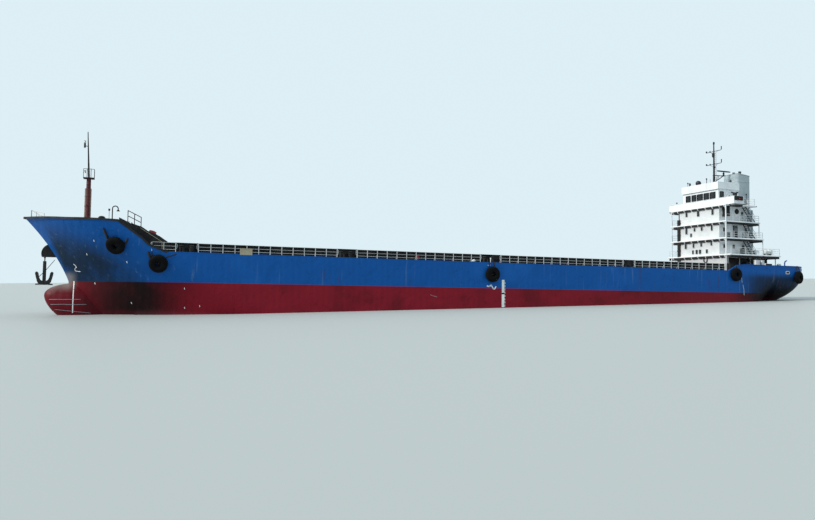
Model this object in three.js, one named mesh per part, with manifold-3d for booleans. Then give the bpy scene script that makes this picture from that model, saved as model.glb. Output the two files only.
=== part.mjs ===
// A coastal container vessel afloat in ballast, as a 1:10 scale model.
// Every size below is in metres of the real ship; modelScale turns it into the model's millimetres.
// +X is forward, +Y is port and +Z is up. The origin is amidships on the centreline, at the waterline.

import * as THREE from "three";
import { mergeVertices } from "three/addons/utils/BufferGeometryUtils.js";
import Module from "manifold-3d";

const wasm = await Module();
wasm.setup();

// Driving dimensions of the real ship
const modelScale = 100;
const gap = 0.003;
const sliver = 0.0008;
const halfBeam = 8.13;
const keelZ = -3.3;
const deckZ = 5.3;
const forecastleDeckZ = 7.5;
const bulwarkTopZ = 8.45;
const stemHeadZ = 9.0;
const sternX = -54.5;
const bowBlockX = 26;
const sternBlockX = -30;
const tankTopZ = -2.0;
const shallowHoldZ = 1.6;
const holdHalfWidth = 6.6;
const foreHoldHalfWidth = 5.4;
const holdForeX = 38;
const holdAftX = -36.3;
const bulkheadX = [-2.2, -1.0];
const coamingTopZ = 6.45;
const coamingThick = 0.16;
const rampForeX = 45.3;
const rampAftX = 40.4;
const rampTopZ = 8.85;
const bilgeRadius = 1.3;
const shaftZ = -1.5;
const propellerRadius = 1.6;
const propellerX = -46.95;
const propellerHubFore = 0.5;
const rudderStockX = -49.1;
const rudderTrunkZ = 0.2;
const houseFrontX = -38.6;
const houseHalfWidth = 4.1;
const deckHalfWidth = 5.7;
const deckThick = 0.14;
const wingHalfWidth = 6.69;
const bridgeDeckZ = 15.45;
const parapetForeX = -38.95;
const wheelhouseHalfWidth = 3.65;
const roofZ = 18.15;
const doorThick = 0.1;

const group = new THREE.Group();
const paint = {
  hull: { color: 0x1f4f8f, roughness: 0.45, metalness: 0 },
  black: { color: 0x14161a, roughness: 0.6, metalness: 0 },
  white: { color: 0xe9ecec, roughness: 0.4, metalness: 0 },
  beige: { color: 0xb9a98c, roughness: 0.6, metalness: 0 },
  red: { color: 0x7a2a22, roughness: 0.6, metalness: 0 },
  rubber: { color: 0x101010, roughness: 0.9, metalness: 0 },
  bronze: { color: 0x9a7a3c, roughness: 0.35, metalness: 1 },
  grey: { color: 0x6d7276, roughness: 0.6, metalness: 0 },
  orange: { color: 0xd4611f, roughness: 0.5, metalness: 0 },
};

// A closed three.js geometry, or raw points and triangles, as a solid
function solid(geometry) {
  geometry.deleteAttribute("normal");
  geometry.deleteAttribute("uv");
  const merged = mergeVertices(geometry, 1e-5);
  return new wasm.Manifold(new wasm.Mesh({
    numProp: 3,
    vertProperties: new Float32Array(merged.attributes.position.array),
    triVerts: new Uint32Array(merged.index.array),
  }));
}

function solidFrom(points, triangles) {
  const geometry = new THREE.BufferGeometry();
  geometry.setAttribute("position", new THREE.Float32BufferAttribute(points.flat(), 3));
  geometry.setIndex(triangles.flat());
  return solid(geometry);
}

// Puts a solid into the scene graph as one named mesh, in millimetres of the model
function addPiece(name, shape, finish) {
  const mesh = shape.simplify(sliver).getMesh();
  const geometry = new THREE.BufferGeometry();
  const positions = Array.from(mesh.vertProperties);
  geometry.setAttribute("position", new THREE.Float32BufferAttribute(positions, 3));
  geometry.setIndex(Array.from(mesh.triVerts));
  geometry.scale(modelScale, modelScale, modelScale);
  const piece = new THREE.Mesh(geometry, new THREE.MeshStandardMaterial(finish));
  piece.name = name;
  group.add(piece);
}

function join(solids) {
  return solids.reduce((sum, next) => sum.add(next));
}

function box(x0, x1, y0, y1, z0, z1) {
  const geometry = new THREE.BoxGeometry(Math.abs(x1 - x0), Math.abs(y1 - y0), Math.abs(z1 - z0));
  geometry.translate((x0 + x1) / 2, (y0 + y1) / 2, (z0 + z1) / 2);
  return solid(geometry);
}

// A round bar or cone between two points
function bar(from, to, radius, endRadius = radius, sides = 10) {
  const start = new THREE.Vector3(...from);
  const end = new THREE.Vector3(...to);
  const geometry = new THREE.CylinderGeometry(endRadius, radius, start.distanceTo(end), sides);
  const along = end.clone().sub(start).normalize();
  geometry.applyQuaternion(new THREE.Quaternion().setFromUnitVectors(new THREE.Vector3(0, 1, 0), along));
  const middle = start.add(end).multiplyScalar(0.5);
  geometry.translate(middle.x, middle.y, middle.z);
  return solid(geometry);
}

// A flat plate: an outline of [x, z] points in the side view, between two values of y
function sidePlate(outline, y0, y1) {
  const shape = new THREE.Shape(outline.map(([x, z]) => new THREE.Vector2(x, z)));
  const geometry = new THREE.ExtrudeGeometry(shape, { depth: Math.abs(y1 - y0), bevelEnabled: false });
  geometry.rotateX(Math.PI / 2);
  geometry.translate(0, Math.max(y0, y1), 0);
  return solid(geometry);
}

// Hull lines
const stemFootZ = 2.3;
const stemFootX = 50.07;

// The stem's forward edge: a raked, slightly hollow curve above the bulb and a rounded forefoot below it
function stemX(z) {
  const up = z - stemFootZ;
  if (up >= 0) return stemFootX + 0.407 * up + 0.0392 * up * up;
  return stemFootX + 0.1 * up + 0.0228 * up * up * up;
}

// Half breadth of the fore body: full beam at the entrance's start, falling to the stem by a power law
function foreHalf(x, z) {
  const height = (z - keelZ) / (deckZ - keelZ);
  const startX = bowBlockX + 13.5 * Math.min(height, 1.35);
  const fullness = 1.55 + 0.95 * Math.min(Math.max(height, 0), 1.2);
  const along = Math.min(Math.max((x - startX) / (stemX(z) - startX), 0), 1);
  const stemHalf = 0.14;
  return stemHalf + (halfBeam * bilge(z) - stemHalf) * (1 - along ** fullness);
}

// The bilge's quarter circle takes the side in to the flat bottom
function bilge(z) {
  const up = z - keelZ;
  if (up >= bilgeRadius) return 1;
  const inset = bilgeRadius - Math.sqrt(bilgeRadius ** 2 - (bilgeRadius - up) ** 2);
  return (halfBeam - inset) / halfBeam;
}

// The stern's deck outline: full beam, a round quarter and a short flat transom
const quarterRadius = 5.7;
function sternPlan(x) {
  const past = Math.max(sternX + quarterRadius - x, 0);
  return halfBeam - quarterRadius + Math.sqrt(Math.max(quarterRadius ** 2 - past ** 2, 0));
}

// The lowest point of the stern on the centreline: keel, propeller aperture, then the rising counter
const skegEndX = -45.6;
const apertureTopZ = 0.35;
function sternBottom(x) {
  if (x >= skegEndX) return keelZ;
  const past = -46.2 - x;
  if (past <= 0) return keelZ + (apertureTopZ - keelZ) * (skegEndX - x) / 0.6;
  return apertureTopZ + 0.00533 * past ** 3.09;
}

// Half breadth of the after body: superelliptic sections, boxes that turn into hollow ones with a skeg
function aftHalf(x, z) {
  const low = sternBottom(x);
  const drop = (deckZ - z) / (deckZ - low);
  const run = Math.min(Math.max((sternBlockX - x) / (sternBlockX - skegEndX), 0), 1);
  const isCounter = x < skegEndX;
  const depthPower = isCounter ? 2.2 : 14 * (1 - run) ** 1.5 + 2.2;
  const widthPower = isCounter ? 0.5 : 0.12 + 1.55 * run ** 1.6;
  const boxed = (1 - Math.min(drop, 1) ** depthPower) ** widthPower;
  return 0.12 + (sternPlan(x) - 0.12) * boxed;
}

// A hull block: rings of points at stations along X, each from the lowest level to the highest on both sides.
// place(station, level) gives [x, halfBreadth, z].
function hullBlock(stations, levels, place) {
  const points = [];
  const rows = levels + 1;
  for (let i = 0; i <= stations; i += 1) {
    for (const side of [1, -1]) {
      for (let j = 0; j < rows; j += 1) {
        const [x, half, z] = place(i / stations, j / levels);
        points.push([x, side * half, z]);
      }
    }
  }
  const at = (i, side, j) => (i * 2 + side) * rows + j;
  const triangles = [];
  const quad = (a, b, c, d) => triangles.push([a, b, c], [a, c, d]);
  for (let i = 0; i < stations; i += 1) {
    for (let j = 0; j < levels; j += 1) {
      quad(at(i, 0, j), at(i, 0, j + 1), at(i + 1, 0, j + 1), at(i + 1, 0, j));
      quad(at(i, 1, j), at(i + 1, 1, j), at(i + 1, 1, j + 1), at(i, 1, j + 1));
    }
    quad(at(i, 0, levels), at(i, 1, levels), at(i + 1, 1, levels), at(i + 1, 0, levels));
    quad(at(i, 0, 0), at(i + 1, 0, 0), at(i + 1, 1, 0), at(i, 1, 0));
  }
  for (let j = 0; j < levels; j += 1) {
    quad(at(0, 0, j), at(0, 1, j), at(0, 1, j + 1), at(0, 0, j + 1));
    quad(at(stations, 0, j), at(stations, 0, j + 1), at(stations, 1, j + 1), at(stations, 1, j));
  }
  return solidFrom(points, triangles);
}

// Levels lie closer together round the bilge
function bilgeSpaced(share) {
  return share ** 1.6;
}

function bowBlock() {
  const body = hullBlock(16, 12, (s, level) => {
    const z = keelZ + (deckZ - keelZ) * bilgeSpaced(level);
    const x = bowBlockX + (stemX(z) - bowBlockX) * Math.sin((s * Math.PI) / 2) ** 0.9;
    return [x, foreHalf(x, z), z];
  });
  const half = foreHoldHalfWidth;
  const pocket = box(bowBlockX - 1, holdForeX, -half, half, shallowHoldZ, deckZ + 1);
  return body.subtract(pocket).add(bulb());
}

// The bulb: elliptic sections whose top and bottom lines are quarter ellipses swept back from its tip
function bulb() {
  const tipX = 52.45;
  const tipZ = 0.75;
  const rings = [0.02, 0.25, 0.7, 1.4, 2.4, 3.6, 5, 6.6, 8.4];
  const sides = 16;
  const points = [[tipX, 0, tipZ]];
  const quarter = (t, length, power = 0.5) => (1 - (1 - Math.min(t / length, 1)) ** 2) ** power;
  for (const t of rings) {
    const top = tipZ + 1.3 * quarter(t, 3);
    const low = tipZ - 4.0 * quarter(t, 7, 0.58);
    const half = 1.75 * quarter(t, 4) - 0.13 * Math.max(t - 4, 0);
    for (let k = 0; k < sides; k += 1) {
      const turn = (2 * Math.PI * k) / sides;
      const middle = (top + low) / 2;
      points.push([tipX - t, half * Math.sin(turn), middle + ((top - low) / 2) * Math.cos(turn)]);
    }
  }
  points.push([tipX - 9, 0, -1.4]);
  const last = points.length - 1;
  const triangles = [];
  for (let k = 0; k < sides; k += 1) {
    const next = (k + 1) % sides;
    triangles.push([0, 1 + next, 1 + k]);
    for (let r = 0; r < rings.length - 1; r += 1) {
      const a = 1 + r * sides;
      const b = a + sides;
      triangles.push([a + k, b + next, b + k], [a + k, a + next, b + next]);
    }
    const end = 1 + (rings.length - 1) * sides;
    triangles.push([last, end + k, end + next]);
  }
  return solidFrom(points, triangles);
}

function sternBlock() {
  const body = hullBlock(22, 12, (s, level) => {
    const x = sternBlockX + (sternX - sternBlockX) * Math.sin(((1 - s) * Math.PI) / 2) ** 0.95;
    const low = sternBottom(x);
    const z = low + (deckZ - low) * bilgeSpaced(level);
    return [x, aftHalf(x, z), z];
  });
  const half = holdHalfWidth;
  const pocket = box(holdAftX, sternBlockX + 1, -half, half, shallowHoldZ, deckZ + 1);
  const engineRoom = box(-45.4, -39.4, -2.6, 2.6, -0.4, deckZ + 1);
  const boss = bar([-43, 0, shaftZ], [propellerX + propellerHubFore + gap, 0, shaftZ], 0.6, 0.38, 14);
  const rudderTrunk = bar([rudderStockX, 0, 1.4], [rudderStockX, 0, rudderTrunkZ], 0.32, 0.28, 14);
  return join([body.subtract(pocket).subtract(engineRoom), boss, rudderTrunk]);
}

// The parallel middle body: port and starboard wings and the double bottom between and under them
function wing(side) {
  const inner = holdHalfWidth;
  return box(sternBlockX + gap, bowBlockX - gap, side * inner, side * halfBeam, tankTopZ + gap, deckZ);
}

function doubleBottom() {
  const arcSteps = 5;
  const outline = [];
  for (const side of [1, -1]) {
    const arc = [[side * halfBeam, tankTopZ]];
    for (let k = 0; k <= arcSteps; k += 1) {
      const turn = (k / arcSteps) * (Math.PI / 2);
      arc.push([
        side * (halfBeam - bilgeRadius + bilgeRadius * Math.cos(turn)),
        keelZ + bilgeRadius - bilgeRadius * Math.sin(turn),
      ]);
    }
    if (tankTopZ - (keelZ + bilgeRadius) < 1e-6) arc.shift();
    outline.push(...(side > 0 ? arc : arc.reverse()));
  }
  const shape = new THREE.Shape(outline.map(([y, z]) => new THREE.Vector2(y, z)));
  const length = bowBlockX - sternBlockX - 2 * gap;
  const geometry = new THREE.ExtrudeGeometry(shape, { depth: length, bevelEnabled: false });
  geometry.rotateX(Math.PI / 2);
  geometry.rotateZ(Math.PI / 2);
  geometry.translate(sternBlockX + gap, 0, 0);
  return solid(geometry);
}

// The bulkhead between the two deep holds
function crossBulkhead() {
  const half = holdHalfWidth - gap;
  return box(bulkheadX[0], bulkheadX[1], -half, half, tankTopZ + gap, deckZ);
}

// The raised forecastle, a decked block that carries the flare up from the main deck
const forecastleAftX = 44.15;
function forecastle() {
  return hullBlock(10, 4, (s, level) => {
    const z = deckZ + gap + (forecastleDeckZ - deckZ - gap) * level;
    const x = forecastleAftX + (stemX(z) - forecastleAftX) * Math.sin((s * Math.PI) / 2);
    return [x, foreHalf(x, z), z];
  });
}

// The bulwark's top line, from the sloping after end up to the stem head
function bulwarkTop(x) {
  const knots = [[40.5, deckZ + 0.06], [42.4, 6.1], [43.1, 6.8], [45.4, bulwarkTopZ], [50, 8.6],
    [54.6, stemHeadZ]];
  for (let k = 1; k < knots.length; k += 1) {
    const [x0, z0] = knots[k - 1];
    const [x1, z1] = knots[k];
    if (x <= x1) return z0 + ((z1 - z0) * (x - x0)) / (x1 - x0);
  }
  return stemHeadZ;
}

// The forecastle's bulwark: a wall that follows the hull's flare round the bow and slopes down to the deck
function forecastleBulwark() {
  const wall = 0.12;
  const stepX = forecastleAftX - 2 * gap;
  const stations = [40.5, 41.5, 42.4, 43.1, stepX, stepX + gap / 2, 45.4, 46.6, 47.8, 49, 50.2, 51.3, 52.3,
    53.1];
  const sections = [];
  const section = (x) => {
    const onForecastle = x > stepX;
    const low = (onForecastle ? forecastleDeckZ : deckZ) + gap;
    const top = Math.max(bulwarkTop(x), low + 0.03);
    return [[foreHalf(x, low), low], [foreHalf(x, top), top]];
  };
  for (const x of stations) {
    const [[lowHalf, low], [topHalf, top]] = section(x);
    sections.push([
      [x, lowHalf - wall, low], [x, lowHalf, low],
      [x, topHalf, top], [x, topHalf - wall, top],
    ]);
  }
  const lowTip = stemX(forecastleDeckZ);
  const topTip = stemX(stemHeadZ);
  sections.push([
    [lowTip - 0.3, 0, forecastleDeckZ + gap], [lowTip, 0, forecastleDeckZ + gap],
    [topTip, 0, stemHeadZ], [topTip - 0.3, 0, stemHeadZ],
  ]);
  const port = sections.slice(0, -1);
  const starboard = port.map((section) => section.map(([x, y, z]) => [x, -y, z])).reverse();
  const ring = [...port, sections.at(-1), ...starboard];
  const points = ring.flat();
  const triangles = [];
  const count = ring.length;
  for (let i = 0; i < count - 1; i += 1) {
    for (let k = 0; k < 4; k += 1) {
      const a = i * 4 + k;
      const b = i * 4 + ((k + 1) % 4);
      triangles.push([a, b, b + 4], [a, b + 4, a + 4]);
    }
  }
  triangles.push([0, 2, 1], [0, 3, 2]);
  const end = (count - 1) * 4;
  triangles.push([end, end + 1, end + 2], [end, end + 2, end + 3]);
  return solidFrom(points, triangles);
}

// The stern's bulwark: a wall round the deck's outline, with sloping fore ends and an opening on each quarter
const sternBulwarkX = -36.2;
const sternBulwarkTopZ = 6.33;
function sternBulwark() {
  const wall = 0.12;
  const outer = [];
  const steps = 14;
  outer.push([sternBulwarkX, halfBeam]);
  for (let k = 0; k <= steps; k += 1) {
    const turn = (k / steps) * (Math.PI / 2);
    outer.push([
      sternX + quarterRadius - quarterRadius * Math.sin(turn),
      halfBeam - quarterRadius + quarterRadius * Math.cos(turn),
    ]);
  }
  const inner = outer.map(([x, y], k) => {
    const turn = k === 0 ? 0 : ((k - 1) / steps) * (Math.PI / 2);
    return [x + wall * Math.sin(turn), y - wall * Math.cos(turn)];
  });
  const outline = [...outer, ...outer.map(([x, y]) => [x, -y]).reverse(),
    ...inner.map(([x, y]) => [x, -y]), ...inner.slice().reverse()];
  const shape = new THREE.Shape(outline.map(([x, y]) => new THREE.Vector2(x, y)));
  const rise = sternBulwarkTopZ - deckZ - gap;
  const geometry = new THREE.ExtrudeGeometry(shape, { depth: rise, bevelEnabled: false });
  geometry.translate(0, 0, deckZ + gap);
  let wallSolid = solid(geometry);
  for (const side of [1, -1]) {
    wallSolid = wallSolid.subtract(box(-52.3, -51.5, side * 5.5, side * 8.5, 5.75, 6.15));
    const foreSlope = [[sternBulwarkX + 1, deckZ + 0.05], [sternBulwarkX, deckZ + 0.05],
      [sternBulwarkX - 1.7, 6.17], [sternBulwarkX - 3.2, 6.36], [sternBulwarkX - 3.2, 6.7],
      [sternBulwarkX + 1, 6.7]];
    wallSolid = wallSolid.subtract(sidePlate(foreSlope, side * 7, side * 9));
  }
  return wallSolid;
}

// A short rail on the coaming's ramp, beside the forecastle's stair
function rampRail(side) {
  const y0 = side * (holdHalfWidth + 0.03);
  const y1 = y0 + side * 0.08;
  const slope = (rampTopZ - coamingTopZ) / (rampForeX - rampAftX);
  const rampZ = (x) => coamingTopZ + (x - rampAftX) * slope;
  const rise = [1.2, 0.65];
  const strip = (x0, x1, low, high) => sidePlate([[x0, rampZ(x0) + low], [x1, rampZ(x1) + low],
    [x1, rampZ(x1) + high], [x0, rampZ(x0) + high]], y0, y1);
  const posts = [44.45, 43.8, 43.15].map((x) => strip(x - 0.04, x + 0.04, -0.05, rise[0]));
  const runs = rise.map((up) => strip(43.11, 44.49, up - 0.08, up));
  return [...posts, ...runs];
}

// The hatch coaming: a wall round each hold with a cross beam between them, rising to the forecastle
function hatchCoaming() {
  const foreX = 41.4;
  const aftX = -36.9;
  const low = deckZ + gap;
  const outer = holdHalfWidth + coamingThick;
  const opening = box(aftX + coamingThick, foreX - coamingThick, -holdHalfWidth, holdHalfWidth, 0, 10);
  const ring = box(aftX, foreX, -outer, outer, low, coamingTopZ).subtract(opening);
  const beam = box(bulkheadX[0], bulkheadX[1], -outer + 0.05, outer - 0.05, low, coamingTopZ);
  const foreDeck = box(holdForeX, foreX - 0.05, -outer + 0.05, outer - 0.05, low, low + 0.3);
  const stepX = forecastleAftX - 2 * gap;
  const ramp = [[rampAftX, low], [stepX, low], [stepX, forecastleDeckZ + gap],
    [rampForeX, forecastleDeckZ + gap], [rampForeX, rampTopZ], [rampAftX, coamingTopZ]];
  const ramps = [1, -1].map((side) => sidePlate(ramp, side * holdHalfWidth, side * outer));
  return join([ring, beam, foreDeck, ...ramps, ...rampRail(1), ...rampRail(-1)]);
}

// Bar rails on a fishplate along the deck edge, in runs with gaps for the mooring bitts
const railRuns = [[40.0, 38.9], [36.9, 22.9], [19.4, 4.6], [0.9, -17.2], [-19.9, -36.0]];
const railTopZ = 6.35;
function deckRail(side) {
  const y0 = side * (halfBeam - 0.16);
  const y1 = side * (halfBeam - 0.09);
  const low = deckZ + gap;
  const solids = [box(40.1, -36.1, y0 - side * 0.01, y1 + side * 0.01, low, low + 0.08)];
  for (const [fore, aft] of railRuns) {
    const spaces = Math.max(Math.round((fore - aft) / 2.54), 1);
    for (let k = 0; k <= spaces; k += 1) {
      const x = fore - ((fore - aft) * k) / spaces;
      solids.push(box(x - 0.035, x + 0.035, y0, y1, low, railTopZ));
    }
    for (const z of [railTopZ - 0.06, low + 0.5]) solids.push(box(aft, fore, y0, y1, z, z + 0.06));
  }
  return join(solids);
}

// The foremast: a tube with a ladder's two stiles, a small platform, a topmast and a crosstree
const foremastX = 48.45;
function foremast() {
  const foot = forecastleDeckZ + gap;
  const solids = [
    bar([foremastX, 0, foot], [foremastX, 0, 13.7], 0.27, 0.24, 12),
    box(foremastX - 0.4, foremastX + 0.4, -0.4, 0.4, 13.6, 13.72),
    bar([foremastX, 0, 13.6], [foremastX + 0.25, 0, 18.8], 0.11, 0.05, 8),
    box(foremastX - 0.02, foremastX + 0.14, -2.0, 2.0, 15.2, 15.32),
    box(foremastX + 0.2, foremastX + 0.75, -0.05, 0.05, 17.2, 17.3),
  ];
  return join(solids);
}

// The windlass on the forecastle: a bed plate, a shaft with two drums and its gear case
function windlass() {
  const foot = forecastleDeckZ + gap;
  const shaft = foot + 0.75;
  const solids = [
    box(46.2, 47.5, -2.4, 2.4, foot, foot + 0.15),
    bar([46.85, -2.6, shaft], [46.85, 2.6, shaft], 0.12, 0.12, 10),
    box(46.45, 47.3, -0.5, 0.5, foot, foot + 1.15),
  ];
  for (const side of [1, -1]) {
    solids.push(bar([46.85, side * 1.1, shaft], [46.85, side * 1.75, shaft], 0.48, 0.48, 14));
    solids.push(bar([46.85, side * 2.2, shaft], [46.85, side * 2.6, shaft], 0.27, 0.27, 12));
    solids.push(box(46.7, 47.0, side * 1.85, side * 2.05, foot, shaft + 0.1));
  }
  return join(solids);
}

// The gooseneck vent pipe on the forecastle's port side
function gooseneck() {
  const x = 45.95;
  const y = 5.0;
  const foot = forecastleDeckZ + gap;
  return join([
    bar([x, y, foot], [x, y, 10.05], 0.1, 0.1, 8),
    bar([x, y, 10.0], [x - 0.18, y, 10.27], 0.1, 0.1, 8),
    bar([x - 0.16, y, 10.25], [x - 0.5, y, 10.22], 0.1, 0.1, 8),
    bar([x - 0.48, y, 10.25], [x - 0.6, y, 9.75], 0.1, 0.13, 8),
  ]);
}

// Rail along the forecastle's after edge
function forecastleRail() {
  const foot = forecastleDeckZ + gap;
  const x0 = forecastleAftX + 0.1;
  const x1 = x0 + 0.07;
  const solids = [box(x0, x1, -5.4, 5.4, foot, foot + 0.08)];
  for (const y of [-5.4, -3.6, -1.8, 0, 1.8, 3.6, 5.33]) {
    solids.push(box(x0, x1, y, y + 0.07, foot, foot + 1.1));
  }
  for (const z of [0.55, 1.04]) solids.push(box(x0, x1, -5.4, 5.4, foot + z, foot + z + 0.06));
  return join(solids);
}

// A stair from the forecastle down to the main deck
function forecastleStair(side) {
  const y0 = side * 6.8;
  const y1 = side * 7.2;
  const low = deckZ + gap;
  const run = 1.7;
  const rise = forecastleDeckZ - deckZ;
  const solids = [];
  for (const y of [y0, y1 - side * 0.05]) {
    solids.push(sidePlate([
      [forecastleAftX - gap * 2, low + rise - 0.02], [forecastleAftX - gap * 2, low + rise - 0.3],
      [forecastleAftX - run + 0.25, low], [forecastleAftX - run - 0.1, low],
      [forecastleAftX - run - 0.1, low + 0.1],
      [forecastleAftX - 0.15, low + rise - 0.02],
    ], y, y + side * 0.05));
  }
  const steps = 8;
  for (let k = 1; k < steps; k += 1) {
    const x = forecastleAftX - run + (run * k) / steps;
    const z = low + (rise * k) / steps;
    solids.push(box(x - 0.12, x + 0.1, y0, y1, z - 0.04, z));
  }
  return join(solids);
}

// The anchor pod on the starboard side of the stem: a rounded bolster with a flat bottom
const podBottomZ = 4.75;
const podMiddleX = 51.85;
function anchorPod(bow) {
  const outline = [];
  const steps = 8;
  for (let k = 0; k <= steps; k += 1) {
    const turn = Math.PI * (k / steps);
    outline.push([podMiddleX + 1.05 * Math.cos(turn), podBottomZ + 0.35 + 0.85 * Math.sin(turn)]);
  }
  outline.push([podMiddleX - 1.05, podBottomZ], [podMiddleX + 0.9, podBottomZ]);
  const pod = sidePlate(outline, -0.3, -1.75);
  return pod.subtract(bow).subtract(bow.translate([2 * gap, -2 * gap, 0]));
}

// A stockless anchor hanging from the pod: shackle, shank, crown and two slender flukes turned up
function anchor(topZ) {
  const x = 52.58;
  const y = -1.1;
  const crownZ = topZ - 3.0;
  const solids = [
    bar([x, y, topZ], [x, y, topZ - 0.3], 0.09, 0.09, 8),
    box(x - 0.12, x + 0.12, y - 0.1, y + 0.1, crownZ, topZ - 0.2),
    box(x - 0.97, x + 0.97, y - 0.22, y + 0.22, crownZ - 0.05, crownZ + 0.1),
  ];
  for (const way of [1, -1]) {
    solids.push(sidePlate([
      [x + way * 0.05, crownZ], [x + way * 0.6, crownZ + 0.05], [x + way * 0.86, crownZ + 0.7],
      [x + way * 0.82, crownZ + 1.25], [x + way * 0.64, crownZ + 1.25], [x + way * 0.62, crownZ + 0.75],
      [x + way * 0.4, crownZ + 0.4], [x + way * 0.05, crownZ + 0.3],
    ], y - 0.16, y + 0.16));
  }
  return join(solids);
}

// A tyre fender lying flat against the side: its centre and the way its axle points
const tyreOuter = 0.97;
const tyreTube = 0.37;
const tyreFlat = 0.85;
function tyre(x, y, z, outward) {
  const profile = [];
  for (let k = 0; k <= 6; k += 1) {
    const turn = (2 * Math.PI * k) / 6;
    const radius = tyreOuter - tyreTube + tyreTube * Math.cos(turn);
    profile.push(new THREE.Vector2(radius, tyreTube * tyreFlat * Math.sin(turn)));
  }
  const geometry = new THREE.LatheGeometry(profile, 16);
  const up = new THREE.Vector3(0, 1, 0);
  const turnTo = new THREE.Quaternion().setFromUnitVectors(up, outward.clone().normalize());
  geometry.applyQuaternion(turnTo);
  geometry.translate(x, y, z);
  return solid(geometry);
}

const tyreTable = [
  // [name, x, z]
  ["bow_upper", 45.49, 5.85],
  ["bow_lower", 41.36, 4.12],
  ["middle", 2.4, 3.94],
  ["quarter", -37.46, 4.84],
];

// A tyre bears on the hull with a flat that follows the plating
const tyreBite = 0.05;
function pressed(shape, hull, outward) {
  return shape.subtract(hull.translate(outward.clone().multiplyScalar(gap).toArray()));
}

// A tyre on the side: its axle follows the hull's slope at that point
function hungTyre(x, z, side, hull) {
  const half = (px, pz) => (px > bowBlockX ? foreHalf(px, pz) : halfBeam);
  const step = 0.7;
  const alongSlope = (half(x + step, z) - half(x - step, z)) / (2 * step);
  const upSlope = (half(x, z + step) - half(x, z - step)) / (2 * step);
  const outward = new THREE.Vector3(-alongSlope, 1, -upSlope).normalize();
  const reach = tyreTube * tyreFlat - tyreBite;
  const axle = new THREE.Vector3(outward.x, side * outward.y, outward.z);
  const shape = tyre(x + axle.x * reach, side * half(x, z) + axle.y * reach, z + axle.z * reach, axle);
  return pressed(shape, hull, axle);
}

// The tyre on the port quarter, where the stern's outline begins to turn
function sternTyre(hull) {
  const outward = new THREE.Vector3(-0.225, 0.974, 0);
  const reach = quarterRadius + tyreTube * tyreFlat - tyreBite;
  const middleX = sternX + quarterRadius + outward.x * reach;
  const middleY = halfBeam - quarterRadius + outward.y * reach;
  return pressed(tyre(middleX, middleY, 4.7, outward), hull, outward);
}

// The house: four tiers, each a closed block between two decks
const doorTierZ = 10.45;
const houseTiers = [
  // [name, foot, top, after end, half width]
  ["house_tier_1", deckZ, 7.95, -47.2, 5.2],
  ["house_tier_2", 7.95, doorTierZ, -44.8, houseHalfWidth],
  ["house_tier_3", doorTierZ, 12.95, -44.6, houseHalfWidth],
  ["house_tier_4", 12.95, bridgeDeckZ, -44.2, houseHalfWidth],
];

function houseTier(foot, top, aftX, halfWidth) {
  return box(houseFrontX, aftX, -halfWidth, halfWidth, foot + gap, top - deckThick - gap);
}

// A rail of posts and two bars between two points on a deck
function postRail(from, to, foot, spaces) {
  const solids = [];
  const thick = 0.035;
  const along = (k) => [0, 1].map((axis) => from[axis] + ((to[axis] - from[axis]) * k) / spaces);
  for (let k = 0; k <= spaces; k += 1) {
    const [x, y] = along(k);
    solids.push(box(x - thick, x + thick, y - thick, y + thick, foot - 0.02, foot + 1.05));
  }
  const [x0, x1] = [Math.min(from[0], to[0]) - thick, Math.max(from[0], to[0]) + thick];
  const [y0, y1] = [Math.min(from[1], to[1]) - thick, Math.max(from[1], to[1]) + thick];
  for (const z of [foot + 0.5, foot + 0.98]) solids.push(box(x0, x1, y0, y1, z, z + 0.06));
  return solids;
}

// A gallery deck round the house, with its rails and the front posts that stand under it
function galleryDeck(top, aftX, halfWidth, postFoot, postHalf) {
  const foreX = houseFrontX + 0.25;
  const edge = halfWidth - 0.22;
  const solids = [box(foreX, aftX, -halfWidth, halfWidth, top - deckThick, top)];
  for (const side of [1, -1]) {
    solids.push(...postRail([foreX - 0.3, side * edge], [aftX + 0.08, side * edge], top, 5));
    const [inner, outer] = [side * (postHalf - 0.16), side * (postHalf - 0.02)];
    solids.push(box(foreX - 0.16, foreX - 0.02, inner, outer, postFoot + gap, top - 0.05));
    solids.push(box(aftX + 0.05, aftX + 0.17, inner, outer, postFoot + gap, top - 0.05));
  }
  return join(solids);
}

function aftRail(top, aftX, halfWidth) {
  return postRail([aftX + 0.08, -halfWidth + 0.08], [aftX + 0.08, halfWidth - 0.08], top, 4);
}

// Stairs stand one over the other beside the house, each hung in an opening of the deck above it
const stairTopX = -42.75;
const stairFootX = -44.9;
const stairWidth = 0.6;
function deckStair(topZ, footZ, inner, side) {
  const low = footZ + gap;
  const solids = [];
  for (const y of [inner, inner + stairWidth]) {
    const stringer = [[stairTopX + 0.1, topZ - 0.02], [stairTopX + 0.1, topZ - 0.34],
      [stairFootX + 0.22, low], [stairFootX - 0.1, low], [stairTopX - 0.25, topZ - 0.02]];
    solids.push(sidePlate(stringer, side * y, side * (y + 0.06)));
  }
  const steps = 7;
  const [y0, y1] = [side * (inner + 0.03), side * (inner + stairWidth + 0.03)];
  for (let k = 1; k < steps; k += 1) {
    const x = stairFootX + ((stairTopX - stairFootX) * k) / steps;
    const z = low + ((topZ - low) * k) / steps;
    solids.push(box(x - 0.12, x + 0.12, y0, y1, z - 0.05, z));
  }
  return solids;
}

// Cuts the stair openings of one deck and hangs its stairs
function withStairs(deck, topZ, footZ, inner) {
  const [low, high] = [inner - 0.06, inner + stairWidth + 0.12];
  const hole = (side) => box(stairTopX, stairFootX + 0.3, side * low, side * high, topZ - 0.5, topZ + 0.02);
  const opened = deck.subtract(hole(1)).subtract(hole(-1));
  return join([opened, ...deckStair(topZ, footZ, inner, 1), ...deckStair(topZ, footZ, inner, -1)]);
}

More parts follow.
